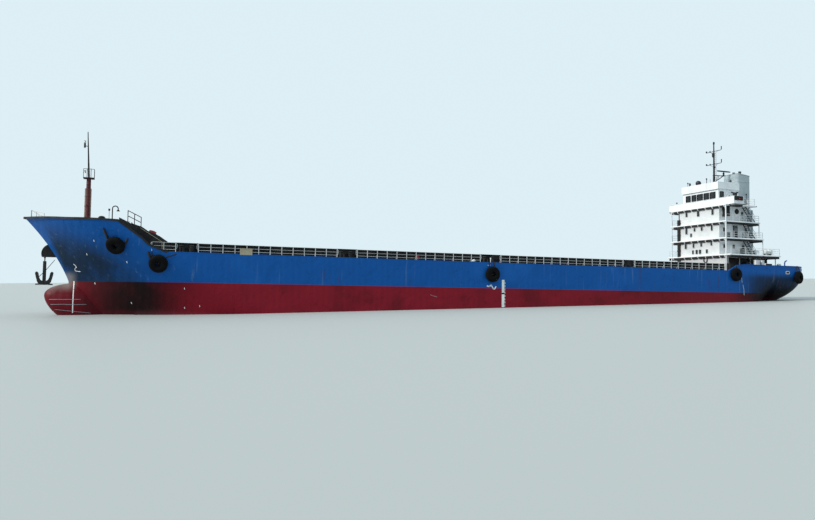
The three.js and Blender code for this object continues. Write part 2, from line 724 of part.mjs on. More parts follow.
// The bridge deck with its wings and their parapet
const parapetTopZ = 16.6;
function bridgeDeck() {
  const foreX = houseFrontX + 0.25;
  const aftWingX = -40.9;
  const aftX = -44.4;
  const low = bridgeDeckZ - deckThick;
  const foot = bridgeDeckZ - 0.1;
  const solids = [
    box(foreX, aftX, -deckHalfWidth, deckHalfWidth, low, bridgeDeckZ),
    box(parapetForeX, aftWingX, -wingHalfWidth, wingHalfWidth, low, bridgeDeckZ),
    box(parapetForeX, parapetForeX - 0.1, -wingHalfWidth, wingHalfWidth, low, parapetTopZ),
  ];
  for (const side of [1, -1]) {
    const edge = side * wingHalfWidth;
    solids.push(box(parapetForeX, aftWingX, edge - side * 0.1, edge, foot, parapetTopZ));
    solids.push(box(aftWingX, aftWingX + 0.1, side * deckHalfWidth, edge, foot, parapetTopZ));
    const railY = side * (deckHalfWidth - 0.08);
    solids.push(...postRail([aftWingX, railY], [-42.7, railY], bridgeDeckZ, 2));
    const [inner, outer] = [side * (deckHalfWidth - 0.16), side * (deckHalfWidth - 0.02)];
    solids.push(box(foreX - 0.16, foreX - 0.02, inner, outer, 12.95 + gap, bridgeDeckZ - 0.05));
  }
  return join(solids);
}

// The wheelhouse: four walls with their windows and doorways cut
const wheelhouseForeX = parapetForeX - 0.1 - gap;
const wheelhouseAftX = -43.05;
const windowLowZ = 16.65;
const windowTopZ = 17.65;
function wheelhouse() {
  const wall = 0.12;
  const foot = bridgeDeckZ + gap;
  const top = roofZ - gap - deckThick;
  const front = wheelhouseForeX;
  const half = wheelhouseHalfWidth;
  const room = box(front - wall, wheelhouseAftX + wall, -half + wall, half - wall, foot - 1, top + 1);
  let body = box(front, wheelhouseAftX, -half, half, foot, top).subtract(room);
  const frontWindows = [[-3.07, -2.04], [-1.83, -0.85], [-0.71, 0.52], [0.68, 1.77], [1.91, 3.06]];
  for (const [low, high] of frontWindows) {
    body = body.subtract(box(front + 1, front - 0.5, low, high, windowLowZ, windowTopZ));
  }
  for (const side of [1, -1]) {
    for (const [x0, x1] of [[-39.3, -40.1], [-41.95, -42.75]]) {
      body = body.subtract(box(x0, x1, side * (half - 0.5), side * (half + 0.5), windowLowZ, windowTopZ));
    }
    const [inner, outer] = [side * (half - 0.5), side * (half + 0.5)];
    body = body.subtract(box(-40.65, -41.45, inner, outer, foot + 0.12, foot + 2.0));
    const [aftCut, foreCut] = [wheelhouseAftX - 0.5, wheelhouseAftX + 0.5];
    body = body.subtract(box(aftCut, foreCut, side * 1.4, side * 2.6, windowLowZ, windowTopZ));
  }
  return join([body, ...doorBrackets(doors[0], 1), ...doorBrackets(doors[0], -1)]);
}

// The compass deck over the wheelhouse with its parapet
function compassDeck() {
  const over = 0.12;
  const x0 = parapetForeX + over;
  const x1 = wheelhouseAftX - over;
  const half = wheelhouseHalfWidth + over;
  const top = 19.1;
  const wall = 0.08;
  const slab = box(x0, x1, -half, half, roofZ - deckThick, roofZ);
  const parapet = box(x0, x1, -half, half, roofZ - 0.05, top)
    .subtract(box(x0 - wall, x1 - 1, -half + wall, half - wall, roofZ - 1, top + 1));
  return join([slab, parapet]);
}

// The steering console inside the wheelhouse
function steeringConsole() {
  const foot = bridgeDeckZ + gap;
  const outline = [[-40.1, foot], [-39.5, foot], [-39.5, foot + 1.1], [-39.75, foot + 1.15],
    [-40.1, foot + 0.95]];
  return sidePlate(outline, -2.2, 2.2);
}

// Weather doors open outwards and forwards. Each hangs on two knuckles over brackets of its own wall.
const doorGap = 0.05;
const hingeRise = 0.3;
const doors = [
  // [name, wall's half width, hinge x, foot, width, height]
  ["wheelhouse_door", wheelhouseHalfWidth, -40.6, bridgeDeckZ + 0.1, 0.9, 2.0],
  ["house_door", houseHalfWidth, -41.4, 10.45 + 0.1, 0.85, 1.95],
];

function hingeY(wallHalf, side) {
  return side * (wallHalf + doorGap + doorThick / 2);
}

function hingeHeights(foot, height) {
  return [foot + hingeRise, foot + height - hingeRise];
}

function door([, wallHalf, x, foot, width, height], side) {
  const y = hingeY(wallHalf, side);
  const half = doorThick / 2;
  const heights = hingeHeights(foot, height);
  const knuckles = heights.map((z) => bar([x, y, z], [x, y, z + 0.16], 0.045, 0.045, 10));
  const panel = box(x - 0.02, x - width, y - half, y + half, foot, foot + height);
  const knuckleRoom = heights.map((z) => box(x + 0.1, x - 0.07, y - 0.1, y + 0.1, z - 0.12, z));
  return join([knuckleRoom.reduce((rest, room) => rest.subtract(room), panel), ...knuckles]);
}

function doorBrackets([, wallHalf, x, foot, , height], side) {
  const wallY = side * (wallHalf - 0.04);
  const reachY = hingeY(wallHalf, side) + side * 0.045;
  return hingeHeights(foot, height).map((z) =>
    box(x - 0.045, x + 0.045, wallY, reachY, z - 0.06 - gap, z - gap));
}

// The funnel and its casing behind the house
const casingForeX = -44.9;
const casingHalf = 2.0;
function funnel() {
  const aftX = -48.0;
  const casing = box(casingForeX, aftX, -casingHalf, casingHalf, 7.95 + gap, bridgeDeckZ);
  const stack = sidePlate([[casingForeX, bridgeDeckZ - 0.1], [aftX, bridgeDeckZ - 0.1], [aftX, 20.9],
    [casingForeX - 0.4, 21.2]], -1.5, 1.5);
  const pipes = [0.6, -0.6].map((y) => bar([-46.5, y, 20.5], [-46.7, y, 21.7], 0.22, 0.22, 10));
  return join([casing, stack, ...pipes]);
}

// The radar mast: a tube with two yards, turned up at their port ends, and a bracket that carries the radar
const radarMastX = -41.9;
const scannerX = -43.9;
const scannerZ = 21.4;
const scannerHalfLength = 1.375;
const yardHalf = 1.55;
function radarMast() {
  const foot = roofZ + gap;
  const x = radarMastX;
  const yards = [24.6, 22.55].flatMap((z) => [
    box(x - 0.05, x + 0.05, -yardHalf, yardHalf, z, z + 0.1),
    bar([x, yardHalf, z + 0.05], [x, yardHalf, z + 0.65], 0.07, 0.05, 8),
    bar([x, -yardHalf, z + 0.02], [x, -yardHalf, z + 0.3], 0.12, 0.12, 8),
  ]);
  return join([
    ...yards,
    bar([x, 0, foot], [x, 0, 26.2], 0.17, 0.07, 10),
    box(x - 0.35, x + 0.35, -0.35, 0.35, foot, foot + 0.5),
    box(scannerX - 0.2, x, -0.12, 0.12, 20.8, 20.92),
    bar([scannerX, 0, 20.8], [scannerX, 0, scannerZ - 0.05], 0.16, 0.16, 10),
    bar([scannerX + 0.1, 0, 20.85], [x, 0, 19.6], 0.06, 0.06, 6),
  ]);
}

function radarScanner() {
  const [aftX, foreX] = [scannerX - scannerHalfLength, scannerX + scannerHalfLength];
  return join([
    bar([scannerX, 0, scannerZ - 0.05 + gap], [scannerX, 0, scannerZ + 0.12], 0.1, 0.1, 10),
    box(aftX, foreX, -0.09, 0.09, scannerZ + 0.1, scannerZ + 0.32),
  ]);
}

// A life raft in its canister, on a cradle
function liferaft(side) {
  const foot = 7.95 + gap;
  const y = side * 5.6;
  return join([
    bar([-46.0, y, foot + 0.62], [-47.5, y, foot + 0.62], 0.36, 0.36, 14),
    box(-46.25, -46.4, y - 0.34, y + 0.34, foot, foot + 0.5),
    box(-47.1, -47.25, y - 0.34, y + 0.34, foot, foot + 0.5),
  ]);
}

// The rescue boat's slewing davit: a post with an arm, on the starboard side
const davit = { x: -42.2, y: -7.0, foot: deckZ };
function davitPost() {
  const { x, y, foot } = davit;
  return bar([x, y, foot + gap], [x, y, foot + 1.2], 0.3, 0.26, 14);
}

function davitArm() {
  const { x, y, foot } = davit;
  const low = foot + 1.2 + gap;
  return join([
    bar([x, y, low], [x, y, low + 2.4], 0.2, 0.18, 12),
    bar([x, y, low + 2.3], [x - 2.2, y, low + 3.0], 0.17, 0.11, 8),
    bar([x - 2.15, y, low + 2.98], [x - 2.15, y, low + 2.5], 0.06, 0.06, 8),
  ]);
}

function rescueBoat() {
  const length = 4.2;
  const middle = -44.9;
  return hullBlock(8, 4, (s, level) => {
    const x = middle - length / 2 + length * s;
    const taper = 1 - Math.max((s - 0.55) / 0.45, 0) ** 2.2 * 0.93;
    const z = deckZ + 0.45 + 0.75 * level + 0.2 * Math.max(s - 0.6, 0);
    return [x, (0.35 + 0.45 * level ** 0.5) * taper, z];
  });
}

function placedRescueBoat() {
  const cradle = [-44.0, -45.9].map((x) => box(x, x - 0.12, -7.35, -6.65, deckZ + gap, deckZ + 0.6));
  const boat = rescueBoat().translate([0, -7.0, 0]);
  return join([boat, ...cradle]);
}

// The mooring winch on the after deck
function mooringWinch() {
  const foot = deckZ + gap;
  const shaft = foot + 0.7;
  return join([
    box(-50.9, -49.7, -1.9, 1.9, foot, foot + 0.12),
    bar([-50.3, -2.1, shaft], [-50.3, 2.1, shaft], 0.11, 0.11, 10),
    box(-50.7, -49.9, -0.4, 0.4, foot, foot + 1.1),
    bar([-50.3, 0.8, shaft], [-50.3, 1.5, shaft], 0.45, 0.45, 14),
    bar([-50.3, -0.8, shaft], [-50.3, -1.5, shaft], 0.45, 0.45, 14),
    box(-50.45, -50.15, 1.62, 1.8, foot, shaft + 0.1),
    box(-50.45, -50.15, -1.8, -1.62, foot, shaft + 0.1),
  ]);
}

// A four-bladed propeller on a coned hub
function propeller() {
  const [foreX, aftX] = [propellerX + propellerHubFore, propellerX - 0.6];
  const solids = [bar([foreX, 0, shaftZ], [aftX, 0, shaftZ], 0.36, 0.14, 16)];
  const bladeCount = 4;
  const outline = [[-0.22, 0.15], [0.22, 0.15], [0.52, 0.8], [0.5, 1.25], [0.2, propellerRadius],
    [-0.25, 1.5], [-0.45, 1.0]];
  for (let k = 0; k < bladeCount; k += 1) {
    const shape = new THREE.Shape(outline.map(([x, y]) => new THREE.Vector2(x, y)));
    const geometry = new THREE.ExtrudeGeometry(shape, { depth: 0.07, bevelEnabled: false });
    geometry.translate(0, 0, -0.035);
    geometry.rotateY(0.55);
    geometry.rotateX(Math.PI / 2);
    geometry.rotateZ(Math.PI / 2);
    geometry.rotateX((2 * Math.PI * k) / bladeCount + 0.3);
    geometry.translate(propellerX, 0, shaftZ);
    solids.push(solid(geometry));
  }
  return join(solids);
}

// The rudder: a foil-shaped blade with its stock, turning about a vertical axis
function rudder() {
  const chordFore = 0.75;
  const chordAft = 1.75;
  const outline = [];
  for (let k = 0; k <= 6; k += 1) {
    const turn = Math.PI / 2 + (Math.PI * k) / 6;
    outline.push([rudderStockX + chordFore - 0.22 - 0.22 * Math.cos(turn), 0.22 * Math.sin(turn)]);
  }
  outline.push([rudderStockX - chordAft, -0.05], [rudderStockX - chordAft, 0.05]);
  const shape = new THREE.Shape(outline.map(([x, y]) => new THREE.Vector2(x, y)));
  const geometry = new THREE.ExtrudeGeometry(shape, { depth: 3.0, bevelEnabled: false });
  geometry.translate(0, 0, -3.1);
  const stock = bar([rudderStockX, 0, -0.2], [rudderStockX, 0, rudderTrunkZ - gap], 0.17, 0.17, 12);
  return join([solid(geometry), stock]);
}

function mainEngine() {
  return box(-45.0, -40.2, -1.3, 1.3, -0.4 + gap, 3.0);
}

// The assembly
const bowSolid = bowBlock();
const sternSolid = sternBlock();
const forecastleSolid = forecastle();
const sternBulwarkSolid = sternBulwark();
const plating = join([bowSolid, forecastleSolid, sternSolid, sternBulwarkSolid, wing(1), wing(-1)]);
addPiece("hull_bow", bowSolid, paint.hull);
addPiece("hull_wing_port", wing(1), paint.hull);
addPiece("hull_wing_starboard", wing(-1), paint.hull);
addPiece("hull_double_bottom", doubleBottom(), paint.hull);
addPiece("hull_cross_bulkhead", crossBulkhead(), paint.grey);
addPiece("hull_stern", sternSolid, paint.hull);
addPiece("forecastle", forecastleSolid, paint.hull);
addPiece("forecastle_bulwark", forecastleBulwark(), paint.hull);
addPiece("stern_bulwark", sternBulwarkSolid, paint.hull);
addPiece("hatch_coaming", hatchCoaming(), paint.black);
addPiece("foremast", foremast(), paint.red);
addPiece("windlass", windlass(), paint.black);
addPiece("forecastle_rail", forecastleRail(), paint.black);
addPiece("gooseneck_vent", gooseneck(), paint.black);
addPiece("anchor_pod", anchorPod(bowSolid.add(forecastleSolid)), paint.black);
addPiece("anchor", anchor(podBottomZ - gap), paint.black);
for (const [word, side] of [["port", 1], ["starboard", -1]]) {
  addPiece(`deck_rail_${word}`, deckRail(side), paint.white);
  addPiece(`forecastle_stair_${word}`, forecastleStair(side), paint.beige);
  for (const [place, x, z] of tyreTable) {
    addPiece(`tyre_${place}_${word}`, hungTyre(x, z, side, plating), paint.rubber);
  }
}
addPiece("tyre_stern", sternTyre(plating), paint.rubber);
for (const [name, foot, top, aftX, halfWidth] of houseTiers) {
  const brackets = foot === doorTierZ ? [...doorBrackets(doors[1], 1), ...doorBrackets(doors[1], -1)] : [];
  addPiece(name, join([houseTier(foot, top, aftX, halfWidth), ...brackets]), paint.white);
}
const poop = galleryDeck(7.95, -48.5, 6.5, deckZ, deckHalfWidth);
const poopRailed = join([poop, ...aftRail(7.95, -48.5, 6.5)]);
addPiece("poop_deck", withStairs(poopRailed, 7.95, deckZ, 5.35), paint.white);
const casingSpace = box(casingForeX + gap, -60, -casingHalf - gap, casingHalf + gap, 0, 30);
const deck2 = galleryDeck(10.45, -45.93, deckHalfWidth, 7.95, deckHalfWidth);
addPiece("gallery_deck_2", withStairs(deck2.subtract(casingSpace), 10.45, 7.95, 4.5), paint.white);
const deck3 = galleryDeck(12.95, -45.2, deckHalfWidth, 10.45, deckHalfWidth);
addPiece("gallery_deck_3", withStairs(deck3.subtract(casingSpace), 12.95, 10.45, 4.5), paint.white);
addPiece("bridge_deck", withStairs(bridgeDeck(), bridgeDeckZ, 12.95, 4.5), paint.white);
addPiece("wheelhouse", wheelhouse(), paint.white);
addPiece("compass_deck", compassDeck(), paint.white);
addPiece("bridge_console", steeringConsole(), paint.grey);
addPiece("funnel", funnel(), paint.white);
addPiece("radar_mast", radarMast(), paint.black);
addPiece("radar_scanner", radarScanner(), paint.black);
addPiece("davit_post", davitPost(), paint.white);
addPiece("davit_arm", davitArm(), paint.white);
addPiece("rescue_boat", placedRescueBoat(), paint.orange);
addPiece("mooring_winch", mooringWinch(), paint.black);
addPiece("propeller", propeller(), paint.bronze);
addPiece("rudder", rudder(), paint.red);
addPiece("main_engine", mainEngine(), paint.grey);
for (const [word, side] of [["port", 1], ["starboard", -1]]) {
  addPiece(`liferaft_${word}`, liferaft(side), paint.white);
  for (const row of doors) addPiece(`${row[0]}_${word}`, door(row, side), paint.white);
}

export default group;
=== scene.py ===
# Coastal container vessel in ballast, 1:10 model. Shapes are worked out in metres of the real ship.
from math import pi
import bmesh
import bpy
import numpy as np
from mathutils import Matrix


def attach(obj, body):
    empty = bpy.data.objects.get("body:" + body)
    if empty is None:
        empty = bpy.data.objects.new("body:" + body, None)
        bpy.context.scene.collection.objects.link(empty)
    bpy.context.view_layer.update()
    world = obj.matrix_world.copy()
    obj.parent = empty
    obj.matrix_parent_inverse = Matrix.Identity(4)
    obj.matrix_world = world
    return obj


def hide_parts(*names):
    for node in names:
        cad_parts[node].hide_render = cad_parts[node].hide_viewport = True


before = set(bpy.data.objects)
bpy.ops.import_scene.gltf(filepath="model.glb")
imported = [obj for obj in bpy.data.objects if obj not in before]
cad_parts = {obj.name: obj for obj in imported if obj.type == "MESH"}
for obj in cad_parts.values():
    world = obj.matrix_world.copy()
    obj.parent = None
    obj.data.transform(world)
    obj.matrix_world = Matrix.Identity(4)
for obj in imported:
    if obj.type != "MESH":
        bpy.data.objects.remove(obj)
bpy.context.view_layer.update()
print("stage: the frame is loaded")

modelScale = 0.1   # metres of the model for each metre of the real ship
ship = "ship"      # the body that carries everything fixed

# A shape is (points, faces): an n x 3 array, and a list of index arrays with one row for each face


def merged(*shapes):
    # Shapes put together: every index is moved on by the points before it
    starts = np.cumsum([0] + [len(points) for points, _ in shapes])
    return (np.concatenate([points for points, _ in shapes]),
            [block + start for (_, faces), start in zip(shapes, starts) for block in faces])


def mirrored(shape):
    # The same shape on the other side: y changes sign and each face turns round
    return shape[0] * [1, -1, 1], [block[:, ::-1] for block in shape[1]]


def bothSides(*shapes):
    # The shapes and their mirror images in the middle plane
    shape = merged(*shapes)
    return merged(shape, mirrored(shape))


def unit(vectors):
    # Each vector divided by its length
    return vectors / np.maximum(np.linalg.norm(vectors, axis=-1, keepdims=True), 1e-9)


def at(x, y, z):
    # Points from three coordinates, each a number or an array
    return np.stack(np.broadcast_arrays(x, y, z), -1)


def laid(loop, axis, place):
    # A flat loop set across an axis at one place on it: its two numbers are the other axes in order
    return np.insert(np.asarray(loop, float), "xyz".index(axis), place, axis=1)


def arc(x, y, reach, start, end, count):
    # Points round (x, y) between two angles; two reaches make an ellipse
    turn = np.linspace(start, end, count)
    reachX, reachY = np.broadcast_to(reach, 2)
    return np.stack([x + reachX * np.cos(turn), y + reachY * np.sin(turn)], -1)


def circle(sides, radius=1.0):
    # Points spread evenly round a circle: cosine and sine of equal turns, times the radius
    turn = np.arange(sides) * 2 * pi / sides
    return np.stack([np.cos(turn), np.sin(turn)], -1) * radius


def roundRect(x0, x1, y0, y1, radius, steps=4):
    # A rectangle with quarter-circle corners, as a closed loop of points
    corners = [(x1 - radius, y1 - radius), (x0 + radius, y1 - radius),
               (x0 + radius, y0 + radius), (x1 - radius, y0 + radius)]
    return np.concatenate([arc(x, y, radius, k * pi / 2, (k + 1) * pi / 2, steps + 1)
                           for k, (x, y) in enumerate(corners)])


def flatBar(half, thick):
    # A rectangle's four corners, from half its width and half its thickness
    return [(-half, -thick), (half, -thick), (half, thick), (-half, thick)]


def crossAxes(along):
    # Two directions across a direction, taken from the z axis, or from x where the direction itself is
    # upright
    helper = np.where(np.abs(along[..., 2:]) > 0.9, [1.0, 0, 0], [0, 0, 1.0])
    side = unit(np.cross(along, helper))
    return side, np.cross(side, along)


def gridShape(points, closeU=False, closeV=False, caps=False):
    # An m x n grid of points as quads; closed directions wrap round, and caps close the two ends of U
    m, n = points.shape[:2]
    rows = np.arange(m if closeU else m - 1)[:, None]
    cols = np.arange(n if closeV else n - 1)[None, :]
    nextRow, nextCol = (rows + 1) % m * n, (cols + 1) % n
    faces = [np.stack([rows * n + cols, rows * n + nextCol, nextRow + nextCol, nextRow + cols],
                      -1).reshape(-1, 4)]
    if caps:
        faces += [np.arange(n)[None, ::-1], ((m - 1) * n + np.arange(n))[None, :]]
    return points.reshape(-1, 3), faces


def lofted(rings):
    # Rings of points joined in order into a tube with closed ends
    return gridShape(np.asarray(rings), closeV=True, caps=True)


def sweep(path, profile, upward=(0, 0, 1), closed=False):
    # A flat profile carried along a path: at each point it stands across the mean direction of the two legs,
    # widened by the mitre so that straight legs keep their width. A list of profiles changes it along the
    # way.
    path = np.asarray(path, float)
    legs = unit(np.diff(path, axis=0, append=path[:1] if closed else path[-1:]))
    if not closed:
        legs[-1] = legs[-2]
    before = np.roll(legs, 1, axis=0)
    if not closed:
        before[0] = legs[0]
    along = unit(legs + before)
    side = unit(np.cross(along, np.asarray(upward, float)))
    rise = np.cross(side, along)
    mitre = 1 / np.maximum(np.sqrt((1 + np.sum(legs * before, -1)) / 2), 0.5)
    profile = np.asarray(profile, float)
    if profile.ndim == 2:
        profile = np.repeat(profile[None], len(path), 0)
    points = (path[:, None] + profile[..., :1] * side[:, None] * mitre[:, None, None]
              + profile[..., 1:] * rise[:, None])
    return gridShape(points, closeU=closed, closeV=True, caps=not closed)


def tube(path, radius, sides=10, upward=(0, 0, 1), closed=False):
    # A round bar along a path; a list of radii makes it taper
    radius = np.asarray(radius, float)
    ring = circle(sides) * radius if radius.ndim == 0 else circle(sides)[None] * radius[:, None, None]
    return sweep(path, ring, upward, closed)


def ringPairs(points):
    # Many short tubes at once: points[k] is the pair of rings of tube k, closed by flat caps
    count, _, sides = points.shape[:3]
    first = (np.arange(count) * 2 * sides)[:, None]
    k = np.arange(sides)[None]
    after = (k + 1) % sides
    walls = np.stack([first + k, first + after, first + sides + after, first + sides + k], -1).reshape(-1, 4)
    return points.reshape(-1, 3), [walls, first + k[:, ::-1], first + sides + k]


def bars(starts, ends, radius, sides=8, endRadius=None):
    # Many straight round bars at once: two rings of points for each pair of ends, with flat caps
    starts, ends = np.broadcast_arrays(np.atleast_2d(starts).astype(float), np.atleast_2d(ends).astype(float))
    side, rise = crossAxes(unit(ends - starts))
    ring = circle(sides)
    offsets = ring[None, :, :1] * side[:, None] + ring[None, :, 1:] * rise[:, None]
    far = radius if endRadius is None else endRadius
    return ringPairs(np.stack([starts[:, None] + offsets * radius, ends[:, None] + offsets * far], 1))


def boxes(lows, highs):
    # Many boxes at once from their lowest and highest corners
    lows, highs = np.atleast_2d(lows).astype(float), np.atleast_2d(highs).astype(float)
    lows, highs = np.minimum(lows, highs), np.maximum(lows, highs)
    corner = np.array([[i, j, k] for i in (0, 1) for j in (0, 1) for k in (0, 1)])
    points = lows[:, None] + (highs - lows)[:, None] * corner[None]
    sides = np.array([[0, 1, 3, 2], [4, 6, 7, 5], [0, 4, 5, 1], [2, 3, 7, 6], [0, 2, 6, 4], [1, 5, 7, 3]])
    faces = (np.arange(len(lows)) * 8)[:, None, None] + sides[None]
    return points.reshape(-1, 3), [faces.reshape(-1, 4)]


def prism(outline, low, high, axis="y"):
    # A flat outline carried straight from low to high along an axis
    return lofted([laid(outline, axis, place) for place in (low, high)])


def slab(x0, x1, y0, y1, low, high, radius, steps=3, axis="z"):
    # A rectangle with round corners, carried along an axis
    return prism(roundRect(x0, x1, y0, y1, radius, steps), low, high, axis)


def lathe(profile, centre, direction=(0, 0, 1), sides=24):
    # A profile of [distance along the axis, radius] rows turned round an axis through centre
    profile = np.asarray(profile, float)
    along = unit(np.asarray(direction, float))
    around = circle(sides) @ np.stack(crossAxes(along))
    return lofted(np.asarray(centre, float) + profile[:, None, :1] * along
                  + np.maximum(profile[:, None, 1:], 1e-4) * around[None])


def torus(centre, direction, across, thick, flat=1.0, sides=48, ribs=16):
    # A ring: a circle, flattened along the axis, turned round the axis through its centre
    along = unit(np.asarray(direction, float))
    outwards = circle(sides) @ np.stack(crossAxes(along))
    section = circle(ribs, thick)
    points = (np.asarray(centre, float) + outwards[:, None] * (across + section[None, :, :1])
              + along * section[None, :, 1:] * flat)
    return gridShape(points, closeU=True, closeV=True)


def lifted(value, power):
    # A power that keeps the sign
    return np.sign(value) * np.abs(value) ** power


def superBlob(centre, radii, power=0.4, rows=16, sides=24):
    # A superellipsoid: the sine and cosine of two angles raised to a power, times three radii
    across = np.linspace(-pi / 2 + 0.01, pi / 2 - 0.01, rows)[:, None]
    around = np.linspace(0, 2 * pi, sides, endpoint=False)[None]
    wide = lifted(np.cos(across), power)
    points = at(wide * lifted(np.cos(around), power), wide * lifted(np.sin(around), power),
                lifted(np.sin(across), power))
    return lofted(points * np.asarray(radii, float) + np.asarray(centre, float))


def turned(shape, degrees, axis, centre):
    # The shape turned round an axis through a point, by Rodrigues' formula
    angle = np.radians(degrees)
    axis = unit(np.asarray(axis, float))
    arm = shape[0] - np.asarray(centre, float)
    spun = (arm * np.cos(angle) + np.cross(axis, arm) * np.sin(angle)
            + axis * (arm @ axis)[:, None] * (1 - np.cos(angle)))
    return spun + np.asarray(centre, float), shape[1]


def railShape(path, heights, spacing, radius=0.03, postRadius=0.035):
    # Bars at several heights over a path of points on a deck, and posts spread evenly along each leg
    path = np.asarray(path, float)
    parts = [tube(path + [0, 0, height], radius, 8) for height in heights]
    for start, end in zip(path[:-1], path[1:]):
        count = max(int(round(np.linalg.norm(end - start) / spacing)), 1)
        feet = start + (end - start) * np.linspace(0, 1, count + 1)[:, None]
        parts.append(bars(feet, feet + [0, 0, max(heights)], postRadius))
    return merged(*parts)


def ladderShape(x, y, half, levels, ends, radii, stileSides=8):
    # Rungs at the levels across a middle line, half a rung to each side, and a stile along each end of them
    half = np.asarray(half, float)
    middle = at(x, y, levels)
    stiles = np.array([(x, y, 0) - half, (x, y, 0) + half])
    return merged(bars(middle - half, middle + half, radii[0], 6),
                  bars(stiles + [0, 0, ends[0]], stiles + [0, 0, ends[1]], radii[1], stileSides))


def stairShape(top, foot, width, steps, inner=True):
    # Two flat stringers, treads spread evenly between them and a handrail on each side, or on the outer side
    # alone. top and foot are points on the middle line, and the treads lie across the ship.
    top, foot, up = np.array(top), np.array(foot), np.array([0, 0, 1.0])
    parts = []
    for side, railed in ((-1, True), (1, inner)):
        edge = np.array([0, side * width / 2, 0])
        low, high, start = foot + edge, top + edge, foot + edge + (top - foot) * 0.04
        parts.append(sweep([low, high], [(-0.025, -0.13), (0.025, -0.13), (0.025, 0.05), (-0.025, 0.05)]))
        if railed:
            posts = low + (top - foot) * np.linspace(0.35, 1, 3)[:, None]
            parts += [tube([start, start + up * 0.855, high + up * 0.9], 0.025, 8),
                      bars(posts, posts + up * 0.9, 0.022),
                      bars(start + up * 0.45, high + up * 0.45, 0.018)]
    middle = foot + (top - foot) * ((np.arange(steps - 1) + 1) / steps)[:, None]
    reach = np.array([0, width / 2, 0]) + np.abs(unit((top - foot) * [1, 1, 0])) * 0.12
    return merged(*parts, boxes(middle - reach - up * 0.03, middle + reach))


def intakeShape(x0, x1, z0, z1, wall, style):
    # An air intake in a side wall: a raised frame of flat bar and sloping slats, one above the other
    rim = laid(roundRect(x0, x1, z0, z1, 0.05, 2), "y", wall + style["lift"])
    first, last, step = style["levels"]
    slats = [prism([(wall + out, level + up) for out, up in style["slat"]], x0 + 0.03, x1 - 0.03, "x")
             for level in np.arange(z0 + first, z1 - last, step)]
    return merged(sweep(rim, flatBar(*style["bar"]), upward=(0, 1, 0), closed=True), *slats)


def addToScene(name, data, axes=None, place=(0, 0, 0)):
    # An object at the origin, or with its three axes and its place
    made = bpy.data.objects.new(name, data)
    if axes is not None:
        basis = np.eye(4)
        basis[:3, :3] = np.transpose(axes)
        basis[:3, 3] = place
        made.matrix_world = Matrix(basis.tolist())
    bpy.context.scene.collection.objects.link(made)
    return made


def addPiece(name, shapes, material, body=ship, stands=(), both=False, sharp=35, weld=False,
             bevel=0,
             marks=None):
    # Puts shapes into the scene as one object with its place in its mesh. both adds their mirror images, and
    # marks gives a material number for each face.
    points, faces = (bothSides if both else merged)(*shapes)
    mesh = bpy.data.meshes.new(name)
    mesh.from_pydata((points * modelScale).tolist(), [],
                     [tuple(row) for block in faces for row in block.tolist()])
    for one in material if isinstance(material, list) else [material]:
        mesh.materials.append(one)
    if marks is not None:
        mesh.polygons.foreach_set("material_index", np.asarray(marks, np.int32))
    soup = bmesh.new()
    soup.from_mesh(mesh)
    if weld:
        bmesh.ops.remove_doubles(soup, verts=soup.verts, dist=2e-6)
        bmesh.ops.dissolve_degenerate(soup, edges=soup.edges, dist=2e-6)
    bmesh.ops.recalc_face_normals(soup, faces=soup.faces)
    soup.to_mesh(mesh)
    soup.free()
    mesh.shade_smooth()
    mesh.set_sharp_from_angle(angle=np.radians(sharp))
    piece = addToScene(name, mesh)
    if bevel:
        edge = piece.modifiers.new("edges", "BEVEL")
        edge.width = bevel * modelScale
        edge.segments = 2
        edge.limit_method = "ANGLE"
        edge.angle_limit = np.radians(40)
        edge.harden_normals = False
    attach(piece, body)
    if stands:
        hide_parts(*stands)


def toLinear(hexText):
    # sRGB hex to the linear colour that a shader socket takes
    channels = [int(hexText[i:i + 2], 16) / 255 for i in (1, 3, 5)]
    return [c / 12.92 if c <= 0.04045 else ((c + 0.055) / 1.055) ** 2.4 for c in channels] + [1.0]


def addNode(tree, kind, inputs=(), output=0, **settings):
    # One node with its settings. An input takes a value, or the socket it is linked from. Gives an output
    # socket.
    made = tree.nodes.new("ShaderNode" + kind)
    for key, value in settings.items():
        setattr(made, key, value)
    for key, value in dict(inputs).items():
        if isinstance(value, bpy.types.NodeSocket):
            tree.links.new(value, made.inputs[key])
        else:
            made.inputs[key].default_value = value
    return made.outputs[output]


def newMaterial(name):
    # An empty material, its node tree, and the place on the piece that every pattern reads
    material = bpy.data.materials.new(name)
    material.use_nodes = True
    tree = material.node_tree
    tree.nodes.clear()
    return material, tree, addNode(tree, "TexCoord", output="Object")


def finished(material, inputs):
    # The surface: the Principled shader with its values and links, joined to the material's output
    tree = material.node_tree
    surface = addNode(tree, "BsdfPrincipled", inputs)
    tree.links.new(surface, tree.nodes.new("ShaderNodeOutputMaterial").inputs["Surface"])
    return material


def cutRange(tree, value, low, high, amount):
    # A smooth share that grows from 0 to an amount while a value goes from low to high
    levels = {"Value": value, "From Min": low, "From Max": high, "To Min": 0.0, "To Max": amount}
    return addNode(tree, "MapRange", levels, interpolation_type="SMOOTHSTEP")


def patches(tree, place, millimetres, low, high, amount=1.0, stretch=(1, 1, 1)):
    # A layer of irregular patches so many millimetres of the real ship across: noise cut smoothly between two
    # levels and scaled to an amount. stretch makes the pattern finer along x, y and z.
    perMetre = 1000 / (millimetres * modelScale)
    spread = addNode(tree, "Mapping", {"Vector": place, "Scale": tuple(perMetre * s for s in stretch)})
    field = addNode(tree, "TexNoise", {"Vector": spread, "Scale": 1.0, "Detail": 5.0, "Roughness": 0.55})
    return cutRange(tree, field, low, high, amount)


